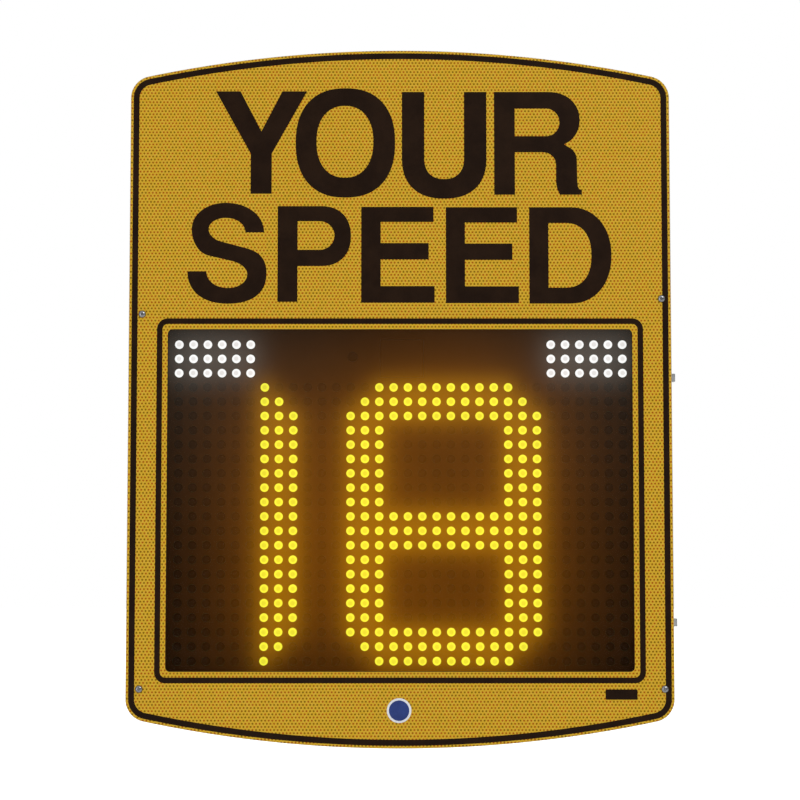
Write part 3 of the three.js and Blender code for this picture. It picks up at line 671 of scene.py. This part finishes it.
WINDOW_X = (-258.4, 258.4)
WINDOW_Z = (-304.8, 73.8)
PANEL_CLEARANCE = 0.9  # between the window's seal and the aluminium
SCREWS = ("upper_left", "upper_right", "lower_left", "lower_right")
BUTTON_HEAD = [(0.1, 3.0), (0.1, 4.0), (0.4, 4.1), (0.9, 3.9), (1.4, 3.5), (1.9, 2.9), (2.3, 2.1), (2.4, 1.5)]
BUTTON_HEAD += [(2.2, 1.3), (0.4, 1.25)]  # its socket


def screw_place(where):
    low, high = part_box(f"face_screw_{where}")
    x, _, z = on_face((low + high) / 2)
    return x, z


def build_face():
    holes = [arc(screw_place(where), (2.7, 2.7), 0, 345, 23) for where in SCREWS]
    window = rounded(WINDOW_X, WINDOW_Z, 5.2)
    opening = rounded(within(WINDOW_X, -PANEL_CLEARANCE), within(WINDOW_Z, -PANEL_CLEARANCE), 6)
    film = flat_mesh([face_outline(0.4), window, *holes], 0, 0.4)
    add("sheeting", film, "sheeting", "door", ["reflective_sheeting"], smooth=False)
    panel = flat_mesh([face_outline(0), opening, *holes], 0.5, 3.0, 0.25)
    add("face_sheet", panel, "bare_aluminium", "door", ["face_panel"])
    for where in SCREWS:
        x, z = screw_place(where)
        head = turned_mesh(BUTTON_HEAD, at(x, 0, z), (0, -1, 0), 36)
        add(f"screw_{where}", head, "screw_steel", "door", [f"face_screw_{where}"])


# ---- Lamps, mask and window ----

PITCH = 16.0
COLUMNS, ROWS, STROBE_ROWS, STROBE_COLUMNS = 32, 20, 3, 6
MATRIX_MIDDLE, MATRIX_TOP = 0.85, 17.8
MASK_DEPTH = 12.2
LAMP_RADIUS = 4.75
LENS_TOP = MASK_DEPTH - 1.2
LENS = [(0.0, 0.0), (1.2, 0.02), (2.3, 0.12), (2.9, 0.22), (3.8, 0.5), (4.4, 1.0)]  # radius and depth
LENS += [(LAMP_RADIUS, 1.8), (LAMP_RADIUS, 3.6)]
HOLE_RADIUS = 5.15


def lamp_place(column, row):
    """Rows count down from the matrix's top; the strobe blocks are rows -3 to -1."""
    x = MATRIX_MIDDLE + (column - (COLUMNS - 1) / 2) * PITCH
    return x, MATRIX_TOP - (row + 0.5) * PITCH


def figure_one():
    """A bar three lamps wide with its ends cut on the slant."""
    lit = {(6, row) for row in range(ROWS)}
    lit |= {(7, row) for row in range(1, ROWS - 1)}
    return lit | {(8, row) for row in range(2, ROWS - 2)}


def figure_eight(left=12, width=14, bar=3):
    """Three bars and two pairs of posts, three lamps wide, with stepped corners."""
    right = left + width - 1
    lit = set()
    for row in range(ROWS):
        from_end = min(row, ROWS - 1 - row)
        if from_end < bar or 9 <= row <= 11:
            step = max(0, 2 - from_end) if from_end < bar else 0
            lit |= {(column, row) for column in range(left + step, right + 1 - step)}
        else:
            lit |= {(column, row) for column in range(left, left + bar)}
            lit |= {(column, row) for column in range(right + 1 - bar, right + 1)}
    return lit


MATRIX = {(column, row) for column in range(COLUMNS) for row in range(ROWS)}
STROBE = {
    (column, row)
    for row in range(-STROBE_ROWS, 0)
    for column in (*range(STROBE_COLUMNS), *range(COLUMNS - STROBE_COLUMNS, COLUMNS))
}
LIT = figure_one() | figure_eight()


def lamps_mesh(cells, sides=20):
    """Domed lenses. rim runs from 0 in the middle to 1 at the edge, and tone differs from lamp to lamp."""
    verts, faces, rim, tone = [], [], [], []
    for column, row in sorted(cells):
        x, z = lamp_place(column, row)
        shade = RANDOM.random()
        first = len(verts)
        verts.append(at(x, LENS_TOP, z))
        rim.append(0.0)
        for radius, depth in LENS[1:]:
            for i in range(sides):
                turn = 2 * math.pi * i / sides
                verts.append(at(x + radius * math.cos(turn), LENS_TOP + depth, z + radius * math.sin(turn)))
                rim.append(radius / LAMP_RADIUS)
        rings = len(LENS) - 1
        for i in range(sides):
            j = (i + 1) % sides
            faces.append((first, first + 1 + i, first + 1 + j))
            for ring in range(rings - 1):
                a, b = first + 1 + ring * sides, first + 1 + (ring + 1) * sides
                faces.append((a + i, b + i, b + j, a + j))
        last = first + 1 + (rings - 1) * sides
        faces.append(tuple(last + i for i in reversed(range(sides))))
        tone += [shade] * (len(verts) - first)
    mesh = bpy.data.meshes.new("lamps")
    mesh.from_pydata(verts, [], faces)
    for key, values in (("rim", rim), ("tone", tone)):
        mesh.attributes.new(key, "FLOAT", "POINT").data.foreach_set("value", values)
    return worked(mesh, lambda solid: bmesh.ops.recalc_face_normals(solid, faces=solid.faces))


def mask_mesh():
    """A sheet with a round hole for each lamp, the radar's opening and the light sensor's hole."""
    x, depth, z = mm_box("display_mask")
    radar_x, _, radar_z = mm_box("radar_module")
    sensor_x, _, sensor_z = mm_box("light_sensor")
    gap = 0.6
    loops = [rounded(x, z, 3)]
    hole = (HOLE_RADIUS, HOLE_RADIUS)
    loops += [arc(lamp_place(*cell), hole, 0, 342, 19) for cell in sorted(MATRIX | STROBE)]
    loops.append(rounded(within(radar_x, -gap), within(radar_z, -gap), 1, 3))
    loops.append(arc((sum(sensor_x) / 2, sum(sensor_z) / 2), (6, 6), 0, 350, 35))
    return flat_mesh(loops, MASK_DEPTH, depth[1] - depth[0])


def glow(points, cells, reach, law):
    """How much of the lamps in cells reaches each (x, z) of points."""
    lamps = np.array([lamp_place(*cell) for cell in sorted(cells)])
    apart = points[:, None, :] - lamps[None, :, :]
    distance = np.hypot(apart[..., 0], apart[..., 1]) / reach
    return (np.exp(-(distance**2)) if law == "bell" else np.exp(-distance)).sum(1)


def pane_mesh(node, step=3.0):
    """The pane as a closed slab whose front is a fine grid that carries the painted glow."""
    span_x, span_y, span_z = mm_box(node)
    columns = round((span_x[1] - span_x[0]) / step)
    rows = round((span_z[1] - span_z[0]) / step)
    verts, faces = [], []
    for depth in span_y:
        for z in spread(*span_z, rows + 1):
            verts += [at(x, depth, z) for x in spread(*span_x, columns + 1)]
    width = columns + 1
    layer = width * (rows + 1)
    for j in range(rows):
        for i in range(columns):
            a = j * width + i
            faces.append((a, a + 1, a + 1 + width, a + width))
            faces.append((layer + a, layer + a + width, layer + a + 1 + width, layer + a + 1))
    rim = list(range(columns)) + [j * width + columns for j in range(rows)]
    rim += [rows * width + i for i in range(columns, 0, -1)] + [j * width for j in range(rows, 0, -1)]
    faces += [(a, layer + a, layer + b, b) for a, b in zip(rim, rim[1:] + rim[:1])]
    mesh = bpy.data.meshes.new("window_sheet")
    mesh.from_pydata(verts, [], faces)
    points = np.array([[v.co.x / MM, (v.co.z - MIDDLE_Z) / MM] for v in mesh.vertices])
    front = np.array([v.co.y < at(0, sum(span_y) / 2, 0).y for v in mesh.vertices], float)
    for name, (_, reach, law) in GLOWS.items():
        amount = glow(points, LIT if name.startswith("amber") else STROBE, reach, law) * front
        mesh.attributes.new(name, "FLOAT", "POINT").data.foreach_set("value", amount.astype(np.float32))
    return mesh


def build_display():
    add("amber_lamps_lit", lamps_mesh(LIT), "amber_lit", "door")
    add("amber_lamps_dark", lamps_mesh(MATRIX - LIT), "lens_dark", "door")
    add("white_lamps", lamps_mesh(STROBE), "white_lit", "door")
    add("mask_sheet", mask_mesh(), "mask_black", "door", ["display_mask"], smooth=False)
    pane = pane_mesh("window_pane")
    add("window_sheet", pane, "smoked_window", "door", ["window_pane"], smooth=False)


# ---- Badge and plate ----


def build_badge():
    """A plain round sticker low on the face, and a blank plate."""
    centre = (-1.0, -347.0)
    outer, inner = (arc(centre, (radius, radius), 0, 354, 59) for radius in (13.5, 11.2))
    sheet("sticker_rim", [outer, inner], -0.14, 0.12, "badge_white", "door")
    sheet("sticker_disc", [inner], -0.12, 0.1, "badge_blue", "door")
    sheet("blank_plate", [rounded((226.0, 261.0), (-335.0, -324.0), 1.0, 4)], -0.3, 0.28, "ink", "door", 0.08)


# ---- Metalwork and the gear inside ----

BEVELS = {
    "header_stiffener": 0.45, "door_frame": 0.5, "display_cover": 0.5, "sign_controller": 1.6,
    "strike_upper": 0.4, "strike_lower": 0.4, "cabinet_shell": 0.8, "pole_bracket": 0.9,
    "battery_tray": 0.5, "battery_clamp": 0.5, "charge_controller": 0.9, "fuse_block": 0.8,
    "switch_housing": 1.2, "switch_rocker": 0.6, "cable_gland_body": 0.5, "cable_gland_cap": 0.8,
    "cable_gland_nut": 0.4, "vent_plug": 0.7, "radar_module": 0.3, "light_sensor": 0.4,
    "backing_strip_upper": 0.5, "backing_strip_lower": 0.5, "battery_left": 1.8, "battery_right": 1.8,
    "window_seal": 0.25, "door_seal": 1.0,
    **{f"bracket_bolt_{i}": 0.4 for i in (1, 2, 3, 4)},
    **{f"lock_{w}_{p}": 0.35 for w in ("upper", "lower") for p in ("housing", "nut", "spindle", "cam")},
}
OUTWARD = {"back": (0, 1, 0), "front": (0, -1, 0), "left": (-1, 0, 0), "right": (1, 0, 0), "down": (0, 0, -1)}
UPRIGHT = (0, 0, 1)
HEADS = {  # profiles, as in turned_mesh
    "rivet": [(-0.2, 1.0), (-0.2, 3.0), (0.3, 3.0), (1.0, 2.3), (1.35, 1.2), (1.0, 0.9)],
    "small_rivet": [(-0.2, 0.7), (-0.2, 1.7), (0.2, 1.7), (0.6, 1.2), (0.75, 0.5)],
    "pan": [(-0.2, 2.0), (-0.2, 3.5), (0.4, 3.5), (1.4, 3.1), (1.9, 2.2), (1.9, 1.3), (0.7, 1.2)],
    "countersunk": [(-0.2, 2.0), (-0.2, 4.0), (0.5, 3.8), (0.8, 3.0), (0.8, 1.5), (-0.1, 1.3)],
    "terminal": [(-0.2, 1.5), (-0.2, 3.0), (0.7, 3.0), (0.9, 2.7), (0.9, 1.0), (0.3, 0.9)],
    "lens": [(-0.2, 1.0), (-0.2, 2.0), (0.5, 2.0), (1.1, 1.5), (1.4, 0.8)],
}


def fasteners(name, kind, places, facing, finish_name, body, sides=20):
    """A set of heads of one kind at (x, depth, z) places, as one piece."""
    heads = [turned_mesh(HEADS[kind], at(*place), OUTWARD[facing], sides) for place in places]
    add(name, heads, finish_name, body)


def build_refined():
    for node, width in BEVELS.items():
        refine(node, bevelled_copy(node, width), False)
    for node, piece in frame["nodes"].items():
        if node not in BEVELS and not piece.hide_render:
            piece.data.materials.clear()
            piece.data.materials.append(FINISH[SLOT_OF[node]])


def build_stiffener():
    x, depth, z = mm_box("header_stiffener")
    foot = depth[0] + 2.0
    places = grid(within(x, 11), foot, spread(*within(z, 16, 12), 5))
    places += grid(spread(*within(x, 68), 5), foot, [z[1] - 10])
    fasteners("stiffener_rivets", "rivet", places, "back", "bare_aluminium", "door")


def build_door_back():
    """Cover screws, stiffening beads in the cover, and rivets round the flange."""
    x, depth, z = mm_box("display_cover")
    back = depth[1]
    edge_x, edge_z = within(x, 7), within(z, 7)
    screws = grid(spread(*edge_x, 6), back, edge_z)
    screws += grid(edge_x, back, spread(*edge_z, 5)[1:-1])
    fasteners("cover_screws", "pan", screws, "back", "stainless", "door")
    beads = [
        flat_mesh([rounded((-225.0, 225.0), (height - 7, height + 7), 6.9, 8)], back - 0.3, 1.7, 0.6)
        for height in (-115.0, -190.0, -265.0)
    ]
    add("cover_beads", beads, "powder_coat", "door")
    flange_x, flange_depth, flange_z = mm_box("door_frame")
    behind = flange_depth[0] + 2.0
    left, right = (flange_x[0] + x[0]) / 2 + 4, (flange_x[1] + x[1]) / 2 - 7
    upper, lower = (flange_z[1] + z[1]) / 2 - 1, (flange_z[0] + z[0]) / 2 + 2
    rivets = grid(spread(left + 10, right - 10, 8), behind, (upper, lower))
    rivets += grid([left], behind, (60.0, -10.0, -80.0, -150.0, -220.0, -290.0))
    rivets += grid([right], behind, (75.0, 5.0, -60.0, -125.0, -190.0, -290.0))
    fasteners("flange_rivets", "small_rivet", rivets, "back", "bare_aluminium", "door", 18)


def build_sign_controller():
    x, depth, z = mm_box("sign_controller")
    corners = grid(within(x, 7), depth[1], within(z, 17, 7))
    fasteners("controller_screws", "pan", corners, "back", "stainless", "door")
    label = [rounded((-38.0, 38.0), (8.0, 44.0), 2, 5)]
    sheet("controller_label", label, depth[1] - 0.1, 0.4, "label_pale", "door", 0.1)
    band = [rounded((-34.0, 34.0), (34.0, 40.0), 1, 4)]
    sheet("controller_band", band, depth[1] + 0.3, 0.12, "badge_blue", "door")
    strip_back = depth[0] + 13
    places = spread(-49.5, 49.5, 10)
    blocks = []
    for place in places:
        high = at(place + 4.6, strip_back + 1.4, z[0] + 9.6)
        blocks.append(block_mesh(at(place - 4.6, strip_back - 7.0, z[0] - 0.8), high, 0.5))
    add("controller_terminals", blocks, "indicator_green", "door")
    screws = grid(places, strip_back + 1.4, [z[0] + 4.6])
    fasteners("controller_terminal_screws", "terminal", screws, "back", "brass", "door", 20)


def knuckle(place, height):
    """A hinge knuckle standing on place."""
    profile = [(0, 2.3), (0, 3.9), (0.3, 4.2), (height - 0.3, 4.2), (height, 3.9), (height, 2.3)]
    return turned_mesh(profile, place, UPRIGHT, 36)


def build_hinges():
    """Knuckles and pins turned round, and a flat leaf with three screws on the cabinet's side."""
    for where in ("upper", "lower"):
        x, depth, z = mm_box(f"hinge_{where}_cabinet_leaf")
        _, door_depth, door_z = mm_box(f"hinge_{where}_door_leaf")
        pin_x, pin_depth, pin_z = mm_box(f"hinge_{where}_pin")
        axis_x, axis_depth = sum(pin_x) / 2, sum(pin_depth) / 2
        third = (z[1] - z[0]) / 3
        leaf = [block_mesh(at(x[1] - 1.6, axis_depth + 5, z[0]), at(x[1], depth[1], z[1]), 0.4)]
        for base in (z[0], z[1] - third):
            leaf.append(knuckle(at(axis_x, axis_depth, base), third))
            wing_end = at(x[1], axis_depth + 6, base + third)
            leaf.append(block_mesh(at(axis_x + 2.5, axis_depth, base), wing_end, 0.4))
        refine(f"hinge_{where}_cabinet_leaf", leaf)
        low, high = at(axis_x - 3, door_depth[0], door_z[0]), at(axis_x + 3, axis_depth - 2, door_z[1])
        leaf = [block_mesh(low, high, 0.4), knuckle(at(axis_x, axis_depth, door_z[0]), door_z[1] - door_z[0])]
        refine(f"hinge_{where}_door_leaf", leaf)
        tall = pin_z[1] - pin_z[0]
        pin = [(0, 1.6), (0, 2.6), (0.4, 3.1), (1.3, 3.1), (1.4, 2.0), (tall - 1.4, 2.0), (tall - 1.3, 3.1)]
        pin += [(tall - 0.4, 3.1), (tall, 2.6), (tall, 1.6)]
        refine(f"hinge_{where}_pin", turned_mesh(pin, at(axis_x, axis_depth, pin_z[0]), UPRIGHT, 32))
        screws = grid([x[1] - 1.6], (axis_depth + 5 + depth[1]) / 2, spread(*within(z, 10), 3))
        fasteners(f"hinge_{where}_screws", "countersunk", screws, "left", "stainless", "cabinet", 28)


def build_cabinet():
    """A blank data plate, an earth stud and ribs on the gland's cap."""
    _, depth, z = mm_box("cabinet_shell")
    plate = [rounded((150.0, 250.0), (36.0, 92.0), 3, 6)]
    sheet("data_plate", plate, depth[1], 0.6, "label_pale", "cabinet", 0.15)
    line = [rounded((154.0, 246.0), (40.0, 88.0), 2, 5), rounded((155.2, 244.8), (41.2, 86.8), 1, 5)]
    sheet("data_plate_line", line, depth[1] + 0.58, 0.1, "ink", "cabinet")
    corners = grid((158.5, 241.5), depth[1] + 0.6, (44.5, 83.5))
    fasteners("data_plate_rivets", "small_rivet", corners, "back", "bare_aluminium", "cabinet", 18)
    foot, down = at(0, 105, z[0]), OUTWARD["down"]
    stud = [(-0.5, 5.0), (-0.5, 7.0), (1.2, 7.0), (1.3, 3.0), (9.5, 3.0), (10.0, 2.5)]
    add("earth_stud", turned_mesh(stud, foot, down, 32), "brass", "cabinet")
    nut = [(1.3, 4.0), (1.3, 5.9), (5.6, 5.9), (6.2, 4.8)]
    add("earth_nut", turned_mesh(nut, foot, down, 6), "brass", "cabinet")
    cap_x, cap_depth, cap_z = mm_box("cable_gland_cap")
    rib = [(0, 0.5), (0.5, 1.0), (10.5, 1.0), (11.0, 0.5)]
    ring = arc((sum(cap_x) / 2, sum(cap_depth) / 2), (11.1, 11.1), 0, 340, 17)
    ribs = [turned_mesh(rib, at(x, y, cap_z[0] + 5), UPRIGHT, 10) for x, y in ring]
    add("gland_ribs", ribs, "black_plastic", "cabinet")


def build_batteries():
    """Lid band, vent caps, terminal covers and a blank label on each battery."""
    cap = [(-1, 4), (-1, 6.4), (1.2, 6.4), (1.8, 5.6), (1.8, 3.2), (1.0, 3.0)]
    stub = [(-1, 2), (-1, 4.2), (4, 4.2), (4, 2.6), (1, 2.4)]
    for side in ("left", "right"):
        x, depth, z = mm_box(f"battery_{side}")
        middle, front, rear, top = sum(x) / 2, depth[0], depth[1], z[1] - 6
        bands = [
            block_mesh(at(x[0] - 0.7, front - 0.7, top - 24), at(x[1] + 0.7, rear + 0.7, top - 0.4), 1.6, 3),
            block_mesh(at(x[0] - 0.1, front - 0.1, z[0] + 0.5), at(x[1] + 0.1, rear + 0.1, z[0] + 9), 1.6, 3),
        ]
        for place in spread(*within(x, 12, 14.2), 17):
            low, high = at(place, front - 0.6, top - 38), at(place + 2.2, front + 1, top - 26)
            bands.append(block_mesh(low, high, 0.4))
        add(f"battery_{side}_bands", bands, "battery_case", "cabinet")
        vents = grid(spread(middle - 50, middle + 50, 6), front + 14, [top])
        caps = [turned_mesh(cap, at(*vent), UPRIGHT, 24) for vent in vents]
        add(f"battery_{side}_vents", caps, "black_plastic", "cabinet")
        label = [rounded((middle - 58, middle + 58), (top - 112, top - 50), 4, 6)]
        sheet(f"battery_{side}_label", label, front - 0.35, 0.45, "label_pale", "cabinet", 0.1)
        stripe = [rounded((middle - 54, middle + 54), (top - 72, top - 58), 2, 5)]
        sheet(f"battery_{side}_stripe", stripe, front - 0.43, 0.12, "ink", "cabinet")
        for finish_name, place in (("switch_red", middle - 76), ("black_plastic", middle + 76)):
            low, high = at(place - 8.5, front + 5.5, top + 0.1), at(place + 8.5, front + 22.5, z[1] + 2)
            post = turned_mesh(stub, at(place, front + 14, z[1] + 2), UPRIGHT, 24)
            cover = [block_mesh(low, high, 1.8, 3), post]
            add(f"battery_{side}_{finish_name}", cover, finish_name, "cabinet")


def build_charger():
    x, depth, z = mm_box("charge_controller")
    rear = depth[1]
    corners = grid(within(x, 4.6), rear - 3, within(z, 6))
    fasteners("charger_screws", "rivet", corners, "front", "stainless", "cabinet")
    screws = grid(spread(*within(x, 27), 6), rear - 20, [z[0] + 8])
    fasteners("charger_terminals", "terminal", screws, "front", "brass", "cabinet", 20)
    walls = [
        block_mesh(at(place - 0.8, rear - 21.6, z[0] + 2.6), at(place + 0.8, rear - 19, z[0] + 13.4), 0.3)
        for place in spread(*within(x, 19.4), 7)
    ]
    add("charger_walls", walls, "black_plastic", "cabinet")
    for finish_name, along in (("indicator_green", 24), ("fuse_amber", 36), ("switch_red", 48)):
        lens = [(x[0] + along, rear - 34, z[0] + 18)]
        fasteners(f"charger_{finish_name}", "lens", lens, "front", finish_name, "cabinet")


def build_power_gear():
    """Fuses in their block, the switch's screws and marks, and the clamp's screws."""
    x, depth, z = mm_box("fuse_block")
    rear = depth[1]
    fuses = {"switch_red": x[0] + 15, "badge_blue": x[0] + 39, "fuse_amber": x[0] + 63}
    for finish_name, place in fuses.items():
        cap = block_mesh(at(place - 5.4, rear - 31.5, 31.6), at(place + 5.4, rear - 26, 48.4), 0.8)
        grip = block_mesh(at(place - 3.6, rear - 33.4, 34.0), at(place + 3.6, rear - 31, 46.0), 0.6)
        add(f"fuse_{finish_name}", [cap, grip], finish_name, "cabinet")
    screws = grid(fuses.values(), rear - 12, (25.0, 55.0))
    fasteners("fuse_terminals", "terminal", screws, "front", "brass", "cabinet", 20)
    x, depth, z = mm_box("switch_housing")
    corners = grid(within(x, 6), depth[0], within(z, 6))
    fasteners("switch_screws", "rivet", corners, "front", "stainless", "cabinet")
    middle = sum(x) / 2
    ring = [arc((middle, z[0] + 11), (radius, radius), 0, 345, 23) for radius in (3, 2.2)]
    bar = [rounded((middle - 0.5, middle + 0.5), (z[1] - 14, z[1] - 8), 0.4, 3)]
    marks = [flat_mesh(loops, depth[0] - 0.15, 0.2) for loops in (ring, bar)]
    add("switch_marks", marks, "badge_white", "cabinet")
    x, depth, z = mm_box("battery_clamp")
    places = grid((x[0] + 20, -60.0, 60.0, x[1] - 20), depth[1] - 2.5, [z[1] - 9])
    fasteners("clamp_screws", "pan", places, "front", "stainless", "cabinet")


def build_radar():
    """A dark cover over the radar, and a dark glass over the light sensor."""
    x, depth, z = mm_box("radar_module")
    sheet("radar_cover", [rounded(x, z, 1, 3)], depth[0] - 0.9, 0.7, "mask_black", "door", 0.1)
    x, depth, z = mm_box("light_sensor")
    glass = [(-0.1, 3.0), (-0.1, 5.4), (0.2, 5.3), (0.5, 4.4), (0.7, 2.6)]
    mesh = turned_mesh(glass, at(sum(x) / 2, depth[0], sum(z) / 2), OUTWARD["front"], 32)
    add("sensor_glass", mesh, "lens_dark", "door")


# ---- Stage, light and camera ----

CAMERA_DISTANCE = 2.0
CAMERA_ELEVATION = math.radians(-3.62)
CAMERA_TARGET = at(0, 12, -4.4)
CAMERA_LENS = 80.57
FLOOR_Z = FACE_LOW.z - 0.6
FLOOR_REACH = 14


def build_camera():
    camera = shown("camera", bpy.data.cameras.new("camera"))
    camera.data.lens = CAMERA_LENS
    camera.data.sensor_width = 36
    camera.data.clip_end = 100
    out = Vector((0, -math.cos(CAMERA_ELEVATION), math.sin(CAMERA_ELEVATION)))
    camera.location = CAMERA_TARGET + out * CAMERA_DISTANCE
    camera.rotation_euler = (CAMERA_TARGET - camera.location).to_track_quat("-Z", "Y").to_euler()
    bpy.context.scene.camera = camera


def area_light(name, place, size, power):
    light = bpy.data.lights.new(name, "AREA")
    light.shape = "RECTANGLE"
    light.size, light.size_y = size
    light.energy = power
    lamp = shown(name, light)
    lamp.location = place
    lamp.rotation_euler = (at(0, 0, 0) - Vector(place)).to_track_quat("-Z", "Y").to_euler()


def build_stage():
    """A floor that looks white, a sky that darkens downwards and looks white, and three lamps."""
    mesh = bpy.data.meshes.new("floor")
    corners = [(-1, -1), (1, -1), (1, 1), (-1, 1)]
    mesh.from_pydata([(x * FLOOR_REACH, y * FLOOR_REACH, FLOOR_Z) for x, y in corners], [], [(0, 1, 2, 3)])
    floor = shown("floor", mesh)
    s = Shader("pale_floor")
    s.set(base_color=s.mix(s.noise(3.0), (0.84, 0.84, 0.84, 1), (0.88, 0.88, 0.88, 1)), roughness=0.9)
    seen = s.new("ShaderNodeLightPath").outputs["Is Camera Ray"]
    s.set(specular_ior_level=0.0, emission_color=(1, 1, 1, 1))
    s.set(emission_strength=s.maths("MULTIPLY", seen, 0.8))
    mesh.materials.append(s.material)
    world = bpy.data.worlds.new("studio")
    world.use_nodes = True
    tree = world.node_tree
    new, link = tree.nodes.new, tree.links.new
    background = tree.nodes["Background"]
    background.inputs["Strength"].default_value = 0.84
    height = new("ShaderNodeSeparateXYZ")
    shade = new("ShaderNodeMapRange")
    shade.interpolation_type = "SMOOTHSTEP"
    for socket, number in zip(list(shade.inputs)[1:5], (-0.35, 0.75, 0.16, 1.0)):
        socket.default_value = number
    link(new("ShaderNodeTexCoord").outputs["Generated"], height.inputs[0])
    link(height.outputs["Z"], shade.inputs[0])
    link(shade.outputs[0], background.inputs["Color"])
    plain = new("ShaderNodeBackground")
    plain.inputs["Color"].default_value = (1, 1, 1, 1)
    choice = new("ShaderNodeMixShader")
    link(new("ShaderNodeLightPath").outputs["Is Camera Ray"], choice.inputs[0])
    link(background.outputs[0], choice.inputs[1])
    link(plain.outputs[0], choice.inputs[2])
    link(choice.outputs[0], tree.nodes["World Output"].inputs["Surface"])
    bpy.context.scene.world = world
    area_light("key", (1.5, -2.6, 2.2), (1.6, 1.6), 35)
    area_light("fill", (-2.4, -2.6, 0.1), (2.2, 2.2), 20)
    area_light("back", (1.2, 3.0, 2.2), (2.6, 2.0), 44)
    bpy.context.scene.view_settings.view_transform = "Standard"


build_camera()
build_stage()
build_face()
build_print()
build_badge()
build_display()
build_refined()
build_stiffener()
build_door_back()
build_sign_controller()
build_hinges()
build_cabinet()
build_batteries()
build_charger()
build_power_gear()
build_radar()
